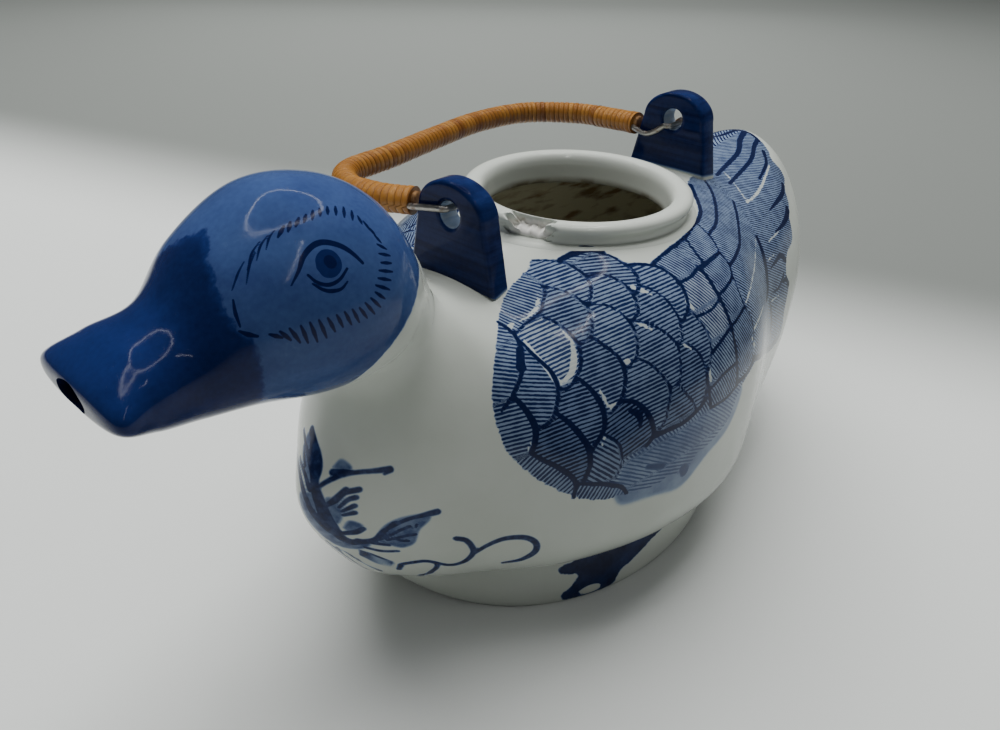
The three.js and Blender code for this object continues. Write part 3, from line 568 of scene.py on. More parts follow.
# Ticks round the eye: the middle of a tick and half its run, at places round the ring.
TICK_RING = [
    (-112.7, 100.5, 0.9, 0.8), (-107.7, 101.2, 0.7, 0.8), (-102, 101.2, 0.7, 0.9),
    (-97.5, 98.5, 0.5, 1), (-95.2, 93.5, -0.4, 1), (-95.5, 88.5, -1.5, 0.5),
    (-97.7, 85, -1.5, 0.7), (-100.5, 82, -1.2, 1.1), (-104.4, 80.6, -0.8, 1.4),
    (-110, 81, -0.4, 1.5), (-114.3, 81, -0.3, 1.7), (-118, 81.8, -0.4, 1.6),
    (-121.6, 83.3, -0.8, 0.8),
]
LONG_TICKS = [
    ([0.5, 0.8, 0.5], [(-126.2, 87.4), (-125.9, 90), (-125.2, 92.4)]),
    ([0.4, 0.6, 0.4], [(-124.6, 94), (-122.4, 96.4), (-120.5, 98)]),
    ([0.4, 0.6, 0.4], [(-122.3, 94), (-120.3, 96.8), (-118.2, 98.8)]),
    ([0.4, 0.6, 0.4], [(-121, 96.2), (-118.8, 98.8), (-116.6, 100.3)]),
    ([0.4, 0.6, 0.4], [(-118.9, 97.2), (-117, 99.4), (-114.9, 100.8)]),
    ([0.4, 0.6, 0.4], [(-116.6, 98.4), (-115, 100.2), (-113.3, 101.3)]),
    ([0.6, 1.1, 0.7], [(-126.6, 86.8), (-125.6, 85.6), (-124.4, 84.6)]),
]
NAVY_EDGE = [
    (-117, 112), (-121, 105.5), (-123.6, 101.3), (-125.3, 96.4), (-126.3, 92), (-126.2, 87.7),
    (-124.8, 84), (-124.3, 77), (-122.5, 68), (-120, 58),
]
NECK_LINE = [
    (-107, 88), (-104, 97), (-100.2, 102.4), (-95, 107.7), (-90.2, 110.8), (-84.7, 114.1),
    (-80, 116.2), (-74, 118.5),
]


def leaning(points):
    """Places on the plane that the wing and the eye are drawn on, the same for both sides."""
    lean = math.radians(BRUSH_LEAN)
    rise = points[:, 2] * math.cos(lean) - np.abs(points[:, 1]) * math.sin(lean)
    return np.stack([points[:, 0], rise], 1)


def wing_marks(points):
    """Marks for the painted wing: edge of the paint, strokes, hatching, and darkness that is partly
    pigment and partly painted shade.
    """
    flat = leaning(points)
    edge = patch(flat, WING_EDGE)
    phase = np.zeros(len(flat))
    dark = np.full(len(flat), 0.3)
    nearest = np.full(len(flat), 1e9)
    lines = np.full(len(flat), FAR)
    for number, (degrees, pigment_and_shade, width, route) in enumerate(FEATHERS):
        run = smooth_route(route, 60) if len(route) > 2 else np.array(route, float)
        order = np.argsort(run[:, 1])
        end = np.interp(flat[:, 1], run[order, 1], run[order, 0])
        within = (flat[:, 1] >= run[:, 1].min()) & (flat[:, 1] <= run[:, 1].max())
        mine = within & (flat[:, 0] < end) & (end < nearest)
        nearest = np.where(mine, end, nearest)
        turn = math.radians(degrees)
        period = FINE_HATCH if degrees <= -57 or degrees in (-37, -23) else HATCH
        across = flat[:, 1] * math.cos(turn) - flat[:, 0] * math.sin(turn)
        phase = np.where(mine, across / period + HATCH_SHIFT * number, phase)
        dark = np.where(mine, pigment_and_shade, dark)
        if width > 0:
            lines = np.minimum(lines, stroke(flat, route, [0.75 * width, width, 0.85 * width]))
    lines = np.minimum(lines, strokes(flat, WING_STROKES) - 0.12)
    return {"wing_edge": edge, "hatch": phase, "pigment_and_shade": dark, "line": lines,
            "pale": strokes(flat, PALE_STROKES), "wash": patch(flat, WASH_EDGE),
            "blob": strokes(flat, WASH_BLOBS)}


def sprig_marks(points):
    """Marks for the sprig on the breast: its brush lines and its leaves."""
    turn = SPRIG_SCALE * np.degrees(np.arctan2(-points[:, 1], -(points[:, 0] + 30)))
    lines = np.full(len(points), FAR)
    leaves = np.full(len(points), FAR)
    in_front = points[:, 0] < -30
    for side in (1, -1):
        flat = np.stack([side * turn, points[:, 2]], 1)[in_front]
        rows = SPRIG_STROKES + TENDRILS
        if side < 0:
            rows = [row for row in rows if min(u for u, v in row[1]) > 8]
        lines[in_front] = np.minimum(lines[in_front], strokes(flat, rows))
        for outline in SPRIG_LEAVES:
            if side > 0 or min(u for u, v in outline) > 8:
                leaves[in_front] = np.minimum(leaves[in_front], patch(flat, outline))
    return {"sprig": lines - 0.15, "leaf": leaves}


def eye_ticks():
    """The ring of short brush ticks round the eye."""
    chance = np.random.default_rng(7)
    ticks = []
    for a, b, run, rise in smooth_route(TICK_RING, 34):
        size = chance.uniform(0.85, 1.15)
        run, rise = size * run + chance.uniform(-0.2, 0.2), size * rise
        ticks.append(([0.55, 1.0, 0.6], [(a - run, b - rise), (a, b), (a + run, b + rise)]))
    return ticks


def neck_line(points):
    """Distance past the line where the blue head ends and the white neck begins."""
    flat = points[:, [0, 2]]
    line = smooth_route(NECK_LINE, 60)
    height = np.interp(flat[:, 0], line[:, 0], line[:, 1])
    rise = (flat[:, 1] - height) * 0.75
    return np.where(flat[:, 0] < line[0, 0], 8, np.where(flat[:, 0] > line[-1, 0], -8, rise))


# Material nodes.

def node(tree, kind, inputs=None, **settings):
    """Adds a node; an input is given a socket to follow or a constant."""
    made = tree.nodes.new(kind)
    for name, value in settings.items():
        setattr(made, name, value)
    for key, value in (inputs or {}).items():
        if isinstance(value, bpy.types.NodeSocket):
            tree.links.new(value, made.inputs[key])
        else:
            made.inputs[key].default_value = value
    return made


def calc(tree, operation, a, b=0.0, clamp=False):
    made = node(tree, "ShaderNodeMath", {0: a, 1: b}, operation=operation, use_clamp=clamp)
    return made.outputs[0]


def times(tree, a, b):
    return calc(tree, "MULTIPLY", a, b)


def plus(tree, a, b):
    return calc(tree, "ADD", a, b)


def less(tree, a, b):
    return calc(tree, "SUBTRACT", a, b)


def most(tree, a, b):
    return calc(tree, "MAXIMUM", a, b)


def ease(tree, value, start, end, low=0.0, high=1.0):
    """Low at start and high at end, with a soft turn at both."""
    given = {"Value": value, "From Min": start, "From Max": end, "To Min": low, "To Max": high}
    return node(tree, "ShaderNodeMapRange", given, interpolation_type="SMOOTHSTEP").outputs[0]


def mixed(tree, share, a, b, blend="MIX"):
    given = {0: share, 6: a, 7: b}
    return node(tree, "ShaderNodeMix", given, data_type="RGBA", blend_type=blend).outputs[2]


def noise(tree, scale, detail=2.0, stretch=(1, 1, 1), roughness=0.5):
    """A noise value over the object's own space; the scale is for one metre."""
    where = node(tree, "ShaderNodeTexCoord").outputs["Object"]
    if stretch != (1, 1, 1):
        where = node(tree, "ShaderNodeMapping", {"Vector": where, "Scale": stretch}).outputs[0]
    given = {"Vector": where, "Scale": scale, "Detail": detail, "Roughness": roughness}
    return node(tree, "ShaderNodeTexNoise", given).outputs["Fac"]


def kept(tree, name):
    return node(tree, "ShaderNodeAttribute", attribute_name=name).outputs["Fac"]


def ramp(tree, value, stops):
    made = node(tree, "ShaderNodeValToRGB", {0: value})
    stones = made.color_ramp.elements
    for number, (place, colour) in enumerate(stops):
        stone = stones[number] if number < 2 else stones.new(place)
        stone.position = place
        stone.color = (*colour, 1)
    return made.outputs[0]


def new_group(name, inputs, outputs):
    """An empty node group with its sockets."""
    group = bpy.data.node_groups.new(name, "ShaderNodeTree")
    for label in inputs:
        group.interface.new_socket(label, in_out="INPUT", socket_type="NodeSocketFloat")
    for label, kind in outputs:
        group.interface.new_socket(label, in_out="OUTPUT", socket_type=kind)
    return group, group.nodes.new("NodeGroupInput"), group.nodes.new("NodeGroupOutput")


def use_group(tree, group, inputs=None):
    return node(tree, "ShaderNodeGroup", inputs, node_tree=group).outputs


def new_material(name):
    material = bpy.data.materials.new(name)
    material.use_nodes = True
    material.node_tree.nodes.clear()
    return material, material.node_tree


def close_material(tree, given, height=None, depth_mm=0.1):
    """Ends a material with its shader, bumped by a height."""
    if height is not None:
        bump = node(tree, "ShaderNodeBump", {"Height": height, "Distance": depth_mm * MM})
        given = {**given, "Normal": bump.outputs[0]}
    shader = node(tree, "ShaderNodeBsdfPrincipled", given)
    out = tree.nodes.new("ShaderNodeOutputMaterial")
    tree.links.new(shader.outputs[0], out.inputs["Surface"])


GLAZE_WHITE = (0.52, 0.55, 0.5)
COLOUR = "NodeSocketColor"
VALUE = "NodeSocketFloat"


def make_pigment_group():
    """Cobalt under the glaze: bare glaze at 0, the deepest navy at 1."""
    group, given, out = new_group("Cobalt pigment", ["Amount", "Bright"], [("Color", COLOUR)])
    cloud = noise(group, 55, 3)
    speck = noise(group, 900, 2)
    amount = given.outputs["Amount"]
    uneven = times(group, less(group, speck, 0.5), 0.22)
    spread = times(group, uneven, calc(group, "MINIMUM", amount, 0.5))
    amount = calc(group, "ADD", amount, spread, clamp=True)
    colour = ramp(group, amount, [(0, GLAZE_WHITE), (1, (0.004, 0.008, 0.036)),
                                  (0.25, (0.2, 0.265, 0.37)), (0.6, (0.036, 0.066, 0.165)),
                                  (0.8, (0.012, 0.023, 0.085))])
    bright = ramp(group, amount, [(0, GLAZE_WHITE), (1, (0.004, 0.008, 0.045)),
                                  (0.25, (0.24, 0.31, 0.42)), (0.6, (0.042, 0.078, 0.205)),
                                  (0.8, (0.01, 0.022, 0.105))])
    colour = mixed(group, given.outputs["Bright"], colour, bright)
    shade = ease(group, cloud, 0.35, 0.75)
    colour = mixed(group, times(group, shade, 0.12), colour, (0.5, 0.52, 0.42, 1),
                   "MULTIPLY")
    group.links.new(colour, out.inputs["Color"])
    return group


def make_glaze_group():
    """How the glaze lies: its slow waves, its pinholes and where it is a little duller."""
    group, given, out = new_group("Glaze surface", ["Wave"],
                                  [("Height", VALUE), ("Roughness", VALUE)])
    slow = noise(group, 38, 2)
    fine = noise(group, 420, 2)
    pits = ease(group, noise(group, 1500, 1), 0.2, 0.3)
    height = times(group, slow, given.outputs["Wave"])
    height = plus(group, height, times(group, fine, 0.08))
    height = plus(group, height, times(group, pits, 0.05))
    group.links.new(height, out.inputs["Height"])
    rough = ease(group, noise(group, 90, 3), 0.3, 0.8, 0.07, 0.16)
    group.links.new(rough, out.inputs["Roughness"])
    return group


PIGMENT = make_pigment_group()
GLAZE = make_glaze_group()


def glazed(tree, amount, wave=1.0, tint=None, bright=0.0, shine=0.22):
    """Ends a material as pigment under clear glaze."""
    colour = use_group(tree, PIGMENT, {"Amount": amount, "Bright": bright})["Color"]
    if tint is not None:
        colour = mixed(tree, tint[0], colour, tint[1])
    surface = use_group(tree, GLAZE, {"Wave": wave})
    close_material(tree, {"Base Color": colour, "Roughness": surface["Roughness"],
                          "IOR": 1.5, "Specular IOR Level": shine},
                   surface["Height"], 0.35)


def body_material():
    material, tree = new_material("White glaze, painted wings")
    wobble = less(tree, noise(tree, 700, 2), 0.5)
    edge = plus(tree, kept(tree, "wing_edge"), times(tree, wobble, 1.2))
    within = ease(tree, edge, 0.15, -0.25)
    phase = plus(tree, kept(tree, "hatch"), times(tree, wobble, 0.3))
    wave = calc(tree, "ABSOLUTE", less(tree, calc(tree, "FRACT", phase), 0.5))
    full = ease(tree, noise(tree, 260, 2), 0.3, 0.7, 0.2, 0.34)
    hatch = ease(tree, less(tree, wave, full), 0.05, -0.05)
    # How dark each feather is comes partly from its pigment and partly from painted shade: the
    # lower feathers are painted darker.
    dark = kept(tree, "pigment_and_shade")
    ground = times(tree, dark, 0.42)
    ground = plus(tree, ground, 0.14)
    drawn = times(tree, plus(tree, dark, 1.75), 0.4)
    drawn = times(tree, hatch, drawn)
    wing = times(tree, most(tree, ground, drawn), within)
    pale = ease(tree, plus(tree, kept(tree, "pale"), wobble), 0.12, -0.12)
    wing = times(tree, wing, less(tree, 1.0, times(tree, pale, 0.9)))
    wash = ease(tree, kept(tree, "wash"), 1.0, -1.0)
    washed = ease(tree, noise(tree, 90, 3), 0.3, 0.7, 0.26, 0.48)
    wing = times(tree, wing, less(tree, 1.0, times(tree, wash, 0.25)))
    wing = most(tree, wing, times(tree, wash, washed))
    blob = ease(tree, kept(tree, "blob"), 0.5, -0.8, 0.0, 0.7)
    line = ease(tree, plus(tree, kept(tree, "line"), times(tree, wobble, 0.5)),
                0.16, -0.2, 0.0, 0.96)
    brush = ease(tree, noise(tree, 500, 3), 0.3, 0.7, 0.72, 0.95)
    sprig = ease(tree, kept(tree, "sprig"), 0.35, -0.3)
    sprig = times(tree, sprig, brush)
    leaf = ease(tree, kept(tree, "leaf"), 0.5, -0.6)
    leaf = times(tree, leaf, ease(tree, noise(tree, 300, 3), 0.3, 0.7, 0.42, 0.64))
    amount = wing
    for other in (blob, line, sprig, leaf):
        amount = most(tree, amount, other)
    blue = ease(tree, kept(tree, "blue"), -0.4, 0.4)
    amount = most(tree, amount, times(tree, blue, 0.66))
    inside = ease(tree, kept(tree, "inside"), 0.4, 0.6)
    # Inside the pot: brown tea stains on a yellowed glaze, whose dark patches also stand in for
    # painted shade.
    stain_and_shade = ramp(tree, noise(tree, 70, 5, (1, 1, 2.5)), [(0.34, (0.28, 0.19, 0.12)),
                                                         (0.5, (0.62, 0.6, 0.47))])
    glazed(tree, amount, 1.0, (inside, stain_and_shade))
    return material


def head_material():
    material, tree = new_material("Blue glaze, drawn eyes")
    wobble = less(tree, noise(tree, 600, 2), 0.5)
    slow = noise(tree, 45, 3, (1, 1, 2.2))
    blue = ease(tree, slow, 0.3, 0.7, 0.6, 0.7)
    navy = ease(tree, plus(tree, kept(tree, "navy"), times(tree, wobble, 2.4)),
                2.8, -1.8)
    deep = ease(tree, slow, 0.3, 0.7, 0.84, 0.95)
    amount = most(tree, blue, times(tree, navy, deep))
    eye = ease(tree, kept(tree, "line"), 0.16, -0.2)
    amount = most(tree, amount, eye)
    amount = most(tree, amount, ease(tree, kept(tree, "iris"), 0.2, -0.3, 0.0, 0.88))
    neck = ease(tree, plus(tree, kept(tree, "blue"), times(tree, wobble, 0.8)),
                -0.3, 0.4)
    amount = times(tree, amount, neck)
    # The inside of the pour hole is painted near black: painted shade in the hole.
    spout = ease(tree, kept(tree, "inside"), 0.3, 0.7)
    glazed(tree, amount, 1.1, (spout, (0.02, 0.02, 0.02, 1)), 1.0, 0.15)
    return material


def lug_material():
    material, tree = new_material("Navy glaze, brushed across")
    bristles = noise(tree, 60, 4, (1, 0.25, 9), 0.6)
    amount = ease(tree, bristles, 0.35, 0.65, 0.88, 1.0)
    eye = ease(tree, kept(tree, "inside"), 0.3, 0.7)
    edge = ease(tree, kept(tree, "rim"), 0.9, 0.1)
    worn = times(tree, edge, ease(tree, noise(tree, 160, 3), 0.3, 0.6))
    amount = less(tree, amount, times(tree, worn, 0.1))
    amount = calc(tree, "SUBTRACT", amount, times(tree, eye, 0.7), clamp=True)
    root = ease(tree, kept(tree, "root"), -0.6, 0.8)
    amount = times(tree, amount, root)
    glazed(tree, amount, 1.0, bright=0.5, shine=0.1)
    return material


def collar_material():
    material, tree = new_material("White glaze, stained and shaded mouth")
    # Low inside the mouth the glaze is painted darker: painted shade deep in the mouth, with blots
    # of tea stain over it.
    low = ease(tree, kept(tree, "stain_and_shade"), 0.0, 1.0)
    blots = ease(tree, noise(tree, 130, 4), 0.45, 0.7)
    stain_and_shade = times(tree, plus(tree, low, times(tree, blots, low)), 0.6)
    broken = ease(tree, kept(tree, "chip"), 0.2, 0.8)
    colour = mixed(tree, stain_and_shade, (*GLAZE_WHITE, 1), (0.17, 0.15, 0.11, 1))
    dirt = ramp(tree, noise(tree, 300, 4), [(0.3, (0.42, 0.38, 0.3)), (0.42, (0.8, 0.79, 0.74))])
    colour = mixed(tree, broken, colour, dirt)
    surface = use_group(tree, GLAZE, {"Wave": 1.0})
    rough = most(tree, surface["Roughness"], times(tree, broken, 0.6))
    close_material(tree, {"Base Color": colour, "Roughness": rough, "IOR": 1.5},
                   surface["Height"], 0.35)
    return material


def foot_material():
    material, tree = new_material("White glaze, painted feet")
    wobble = less(tree, noise(tree, 500, 2), 0.5)
    leg = ease(tree, plus(tree, kept(tree, "leg"), times(tree, wobble, 1.1)),
               0.25, -0.25)
    toe = ease(tree, kept(tree, "toe"), 0.2, -0.2)
    deep = ease(tree, noise(tree, 120, 3), 0.35, 0.7, 0.78, 0.98)
    amount = times(tree, leg, less(tree, 1.0, toe))
    glazed(tree, times(tree, amount, deep), 1.0)
    return material


def wire_material():
    material, tree = new_material("Steel wire, tarnished")
    rust = ease(tree, noise(tree, 420, 4), 0.5, 0.68)
    colour = mixed(tree, rust, (0.33, 0.32, 0.3, 1), (0.16, 0.09, 0.045, 1))
    rough = ease(tree, noise(tree, 800, 2), 0.3, 0.7, 0.3, 0.5)
    metal = less(tree, 1.0, times(tree, rust, 0.7))
    close_material(tree, {"Base Color": colour, "Roughness": rough, "Metallic": metal},
                   noise(tree, 1500, 2), 0.06)
    return material


def cane_material():
    material, tree = new_material("Cut cane")
    fibres = noise(tree, 900, 3, (1, 0.2, 1))
    colour = ramp(tree, fibres, [(0.3, (0.09, 0.04, 0.015)), (0.7, (0.3, 0.16, 0.06))])
    close_material(tree, {"Base Color": colour, "Roughness": 0.55}, fibres, 0.15)
    return material


def rattan_material():
    material, tree = new_material("Rattan strip")
    turn = kept(tree, "turn")
    along = kept(tree, "around")
    number = calc(tree, "FLOOR", turn)
    own = node(tree, "ShaderNodeTexWhiteNoise", {"W": number}, noise_dimensions="1D").outputs[0]
    drift = node(tree, "ShaderNodeTexNoise", {"W": plus(tree, number, along),
                                              "Scale": 0.35, "Detail": 2.0},
                 noise_dimensions="1D").outputs[0]
    tone = plus(tree, times(tree, own, 0.22), times(tree, drift, 0.8))
    colour = ramp(tree, tone, [(0.2, (0.16, 0.055, 0.01)), (0.85, (0.36, 0.165, 0.032)),
                               (0.45, (0.25, 0.1, 0.016)), (0.6, (0.3, 0.13, 0.022))])
    place = calc(tree, "FRACT", turn)
    groove = calc(tree, "ABSOLUTE", less(tree, place, 0.5))
    shade = ease(tree, groove, 0.38, 0.5, 0.0, 0.6)
    colour = mixed(tree, shade, colour, (0.1, 0.035, 0.008, 1))
    grain = noise(tree, 1300, 3, (1, 1, 1))
    colour = mixed(tree, ease(tree, grain, 0.5, 0.75, 0.0, 0.4), colour, (0.12, 0.05, 0.015, 1))
    close_material(tree, {"Base Color": colour, "Roughness": 0.36, "IOR": 1.45},
                   grain, 0.05)
    return material


# The pot.

def neck_blend(points):
    """How wide the neck's hollow is: tight under the chin, wide at the nape."""
    share = np.clip((points[:, 0] + 106) / 18, 0, 1)
    return 7 + 9 * share * share * (3 - 2 * share)


def join_neck(points, wanted, side):
    """Moves the points of the body, side 1, or of the head, side -1, onto the neck.

    Body and head share one surface there, and each sinks below it where the other leads.
    """
    from_body, from_head = depth(BODY_LINES, points), depth(HEAD_LINES, points)
    lead = from_head if side > 0 else from_body
    near = (lead < 32) & wanted & (points[:, 0] > -118) & (points[:, 0] < -40)
    near = np.flatnonzero(near & (points[:, 2] > 55))
    moved = points[near].copy()

    def union(places):
        a, b = depth(BODY_LINES, places), depth(HEAD_LINES, places)
        wide = neck_blend(places)
        share = np.clip(0.5 + 0.5 * (a - b) / wide, 0, 1)
        low = a * (1 - share) + b * share - wide * share * (1 - share)
        under = np.clip(side * (a - b) / wide, 0, 1)
        return low + 0.6 * under * under * (3 - 2 * under)

    for _ in range(14):
        here = union(moved)
        slope = np.zeros_like(moved)
        for axis in range(3):
            step = np.zeros(3)
            step[axis] = 0.05
            slope[:, axis] = (union(moved + step) - union(moved - step)) / 0.1
        size = np.maximum(np.sum(slope ** 2, axis=1), 0.25)
        moved -= np.clip(0.7 * here / size, -1.8, 1.8)[:, None] * slope
    fade = np.clip((lead[near] + 26) / 8, 0, 1)[:, None]
    points[near] += fade * (moved - points[near])


def make_body():
    angles = even_angles(BODY_LINES, 6.0, BODY_SIDES, (14, 98, 2.2, 1.0, 0.2))
    places = even_places(BODY_LINES, BODY_RINGS, (-82, 20, 1.35))
    rings = sections(lines_at(BODY_LINES, places), angles)
    body = skin("body", rings, tips_of(BODY_LINES))
    inner = [[-105.5, 50.8, 50.8, 50.8, 0, 1.9, 2]]
    for x, top, wide, low, half, up, down in BODY_LINES[1:-1]:
        inner.append([x, top - WALL, wide, max(low, 2) + WALL, half - WALL, up, down])
    inner.append([123, 77.5, 77.5, 77.5, 0, 2, 2])
    rings = sections(lines_at(inner, even_places(inner, 56)), even_angles(inner, 6.0, 56))
    cut(body, skin("cavity", rings, tips_of(inner)))
    bpy.ops.mesh.primitive_cylinder_add(vertices=72, radius=MOUTH_HOLE * MM, depth=50 * MM,
                                        location=(0, 0, 100 * MM))
    cut(body, bpy.context.object)
    bpy.ops.mesh.primitive_cube_add(size=0.4, location=(0, 0, (FOOT_HEIGHT + 0.3) * MM - 0.2))
    cut(body, bpy.context.object)

    points = places_of(body)
    from_body = depth(BODY_LINES, points)
    join_neck(points, from_body > -2, 1)
    move_to(body, points)

    for name, values in {**wing_marks(points), **sprig_marks(points)}.items():
        mark(body, name, values)
    mark(body, "blue", np.minimum(neck_line(points), 1.5 - depth(HEAD_LINES, points)))
    mark(body, "inside", from_body < -1.5)
    smooth(body, 50)
    finish_piece(body, "pot", ["body_shell"], body_material())


def make_head():
    places = even_places(HEAD_LINES, HEAD_RINGS, (-128, -92, 1.9))
    angles = even_angles(HEAD_LINES, 5.0, HEAD_SIDES, (106, 135.5, 2.2, 1.4, 0.7))
    rings = sections(lines_at(HEAD_LINES, places), angles)
    head = skin("head", rings, tips_of(HEAD_LINES))
    bpy.ops.mesh.primitive_cone_add(vertices=48, radius1=5.5 * MM, radius2=12 * MM,
                                    depth=33 * MM)
    spout = bpy.context.object
    spout.scale = (1, 0.51, 1)
    spout.rotation_euler = (math.pi / 2, 0, math.pi / 2)
    spout.location = (-136 * MM, 0, 108.2 * MM)
    bpy.ops.object.transform_apply(location=True, rotation=True, scale=True)
    cut(head, spout)
    points = places_of(head)
    mark(head, "inside", depth(HEAD_LINES, points) < -0.6)
    flat = leaning(points)
    lines = strokes(flat, EYE_STROKES + LONG_TICKS + eye_ticks())
    mark(head, "line", lines)
    mark(head, "iris", patch(flat, IRIS_EDGE))
    edge = smooth_route(NAVY_EDGE, 80)
    order = np.argsort(edge[:, 1])
    front = np.interp(flat[:, 1], edge[order, 1], edge[order, 0])
    mark(head, "navy", flat[:, 0] - front)
    join_neck(points, points[:, 0] > -114, -1)
    move_to(head, points)
    mark(head, "blue", neck_line(points))
    smooth(head, 50)
    finish_piece(head, "pot", ["head_spout"], head_material())


def make_collar():
    profile = [(34.2, -6), (37.2, -1.4), (35.6, 0.2), (34.7, 1.6), (34.4, 3), (34.45, 4.2),
               (34.9, 5.1), (35.3, 5.8), (35.3, 6.6), (34.7, 7.4), (33.6, 7.9), (32.4, 8),
               (31.1, 7.8), (30, 7.2), (29.2, 6), (28.8, 4.4), (28.6, 1.5), (28.5, -0.4),
               (28.7, -1.6), (29.5, -2.2), (31.5, -2.4)]
    base = 102
    outline = smooth_route(profile, 90)
    turns = np.linspace(0, 2 * np.pi, 360, endpoint=False)
    cosine, sine = np.cos(turns)[:, None], np.sin(turns)[:, None]
    r, z = outline[None, :, 0], outline[None, :, 1]
    foot = back_at(35 * cosine, 35 * sine)
    share = np.clip((2.2 - z) / 2.2, 0, 1)
    height = base + z * (z > 0) + share * (foot - base + np.minimum(z, 0))
    height = np.where(r < 32, base + z, height)
    points = np.stack([r * cosine, r * sine, height + 0 * r * cosine], -1)

    flat = points.reshape(-1, 3)
    turn = np.degrees(np.arctan2(flat[:, 1], flat[:, 0]))
    reach = np.hypot(flat[:, 0], flat[:, 1])
    across = (turn + 166) / 11
    rough = 0.25 * np.sin(0.9 * turn + 3) + 0.2 * np.sin(2.1 * turn + flat[:, 2])
    across += 0.12 * np.sin(2.6 * reach) + 0.1 * np.sin(3.4 * flat[:, 2])
    bite = np.clip(2.2 - 2 * across ** 2 + 0.6 * rough, 0, 1)
    bite *= np.clip((reach - 30.6) / 1.5, 0, 1) * np.clip((flat[:, 2] - 104.2) / 1.2, 0, 1)
    deep = 3.4 + 1.2 * rough
    flat[:, 2] -= bite * np.clip(deep, 0.5, 4.6)
    flat[:, 0] -= bite * 2.2 * flat[:, 0] / reach
    flat[:, 1] -= bite * 2.2 * flat[:, 1] / reach

    collar = mesh_piece("collar", flat, ring_quads(len(turns), len(outline), closed=True))
    turn_outward(collar)
    mark(collar, "chip", bite)
    # The lowest inside of the collar is marked for painted shade and tea stains.
    mark(collar, "stain_and_shade", np.clip((103 - flat[:, 2]) / 3, 0, 1) * (reach < 31))
    smooth(collar, 60)
    finish_piece(collar, "pot", ["collar_ring"], collar_material())


def make_foot():
    table = np.linspace(0, len(BODY_LINES) - 1, 1200)
    rows = lines_at(BODY_LINES, table)
    x, wide, low, half, down = [rows[:, k] for k in (0, 2, 3, 4, 6)]
    inside = np.clip((wide - FOOT_HEIGHT) / np.maximum(wide - low, 1e-3), 0, 1)
    belly = np.where(low < FOOT_HEIGHT, half * (1 - inside ** down) ** (1 / down), 0)
    front, rear = x[belly > 0.5][0], x[belly > 0.5][-1]
    turns = np.linspace(0, 2 * np.pi, 420, endpoint=False)
    c, s = np.cos(turns), np.sin(turns)
    reach = np.where(c < 0, -8.5 - front, rear + 8.5)
    top_x = -8.5 + reach * c
    top_y = np.sign(s) * np.maximum(np.interp(top_x, x, belly) - 1.2, 0)
    top_x = top_x - 1.2 * c
    levels = [(1.2, 0.0, 0.0), (0.35, 0.0, 0.25), (0.0, 0.03, 1.0)]
    levels += [(0, k / 14, 16 * k / 14) for k in range(2, 14)]
    levels += [(0.0, 1.0, 15.6), (0.4, 1.0, 16.1), (4.4, 1.0, 16.1), (4.5, 0.5, 8.0),
               (4.5, 0.31, 5.0)]
    rings = []
    for inward, share, height in levels:
        ring_x = (1 - share) * (-8.5 + 71 * c) + share * top_x - inward * c
        ring_y = (1 - share) * 57.5 * s + share * top_y - inward * s
        rings.append(np.stack([ring_x, ring_y, np.full(len(c), height)], 1))
    foot = skin("foot", np.array(rings), [(-8.5, 0, 0.0), (-8.5, 0, 5.0)])
    only(foot)
    points = places_of(foot)
    side = points[:, [0, 2]]
    mark(foot, "leg", patch(side, LEG_EDGE))
    mark(foot, "toe", patch(side, TOE_GAP))
    smooth(foot, 50)
    finish_piece(foot, "pot", ["base_plinth"], foot_material())


def make_lug(name, x, eye, thickness, node_name, bare):
    """A standing lug with a round eye, drawn as a flat outline and thickened."""
    root = 19
    outline = [(15.6, -root), (12.8, -5)]
    for degrees in range(0, 181, 6):
        turn = math.radians(degrees)
        outline.append((11.8 * math.cos(turn), 8.8 * math.sin(turn)))
    outline += [(-12.8, -5), (-15.6, -root)]
    drawn = bpy.data.curves.new(name, "CURVE")
    drawn.dimensions = "2D"
    drawn.fill_mode = "BOTH"
    drawn.resolution_u = 8
    for ring in (outline, [(3.5 * math.cos(t * math.pi / 24), 3.5 * math.sin(t * math.pi / 24))
                           for t in range(48)]):
        spline = drawn.splines.new("POLY")
        spline.points.add(len(ring) - 1)
        for point, (across, up) in zip(spline.points, ring):
            point.co = (across * MM, up * MM, 0, 1)
        spline.use_cyclic_u = True
    round_edge = 1.2
    drawn.extrude = (thickness / 2 - round_edge) * MM
    drawn.bevel_depth = round_edge * MM
    drawn.bevel_resolution = 4
    drawn.offset = -round_edge * MM
    place = Matrix(((0, 0, 1, x * MM), (1, 0, 0, 0), (0, 1, 0, eye * MM), (0, 0, 0, 1)))
    lug = curve_piece(name, drawn, place)
    bpy.ops.object.transform_apply(location=True, rotation=True, scale=True)
    points = places_of(lug)
    from_eye = np.hypot(points[:, 1], points[:, 2] - eye)
    mark(lug, "inside", np.clip((3.95 - from_eye) / 0.5, 0, 1))
    flat = points[:, 1:3] - (0, eye)
    mark(lug, "rim", -patch(flat, outline, False))
    mark(lug, "root", points[:, 2] - back_at(points[:, 0], points[:, 1]) - bare)
    smooth(lug, 45)
    finish_piece(lug, "pot", [node_name], lug_material())


# The bail, in its own plane: along the hinge, out from it, and square to it.

def bail_to_pot(points):
    drop = math.radians(REST_DROP)
    x, out, up = points[:, 0], points[:, 1], points[:, 2]
    y = out * math.cos(drop) + up * math.sin(drop)
    z = HINGE_HEIGHT - out * math.sin(drop) + up * math.cos(drop)
    return np.stack([x, y, z], 1)


CANE_LINE = smooth_route(CANE_ROUTE, 1600)
CANE_RUN = np.concatenate([[0], np.cumsum(np.linalg.norm(np.diff(CANE_LINE, axis=0), axis=1))])
CANE_LENGTH = CANE_RUN[-1]


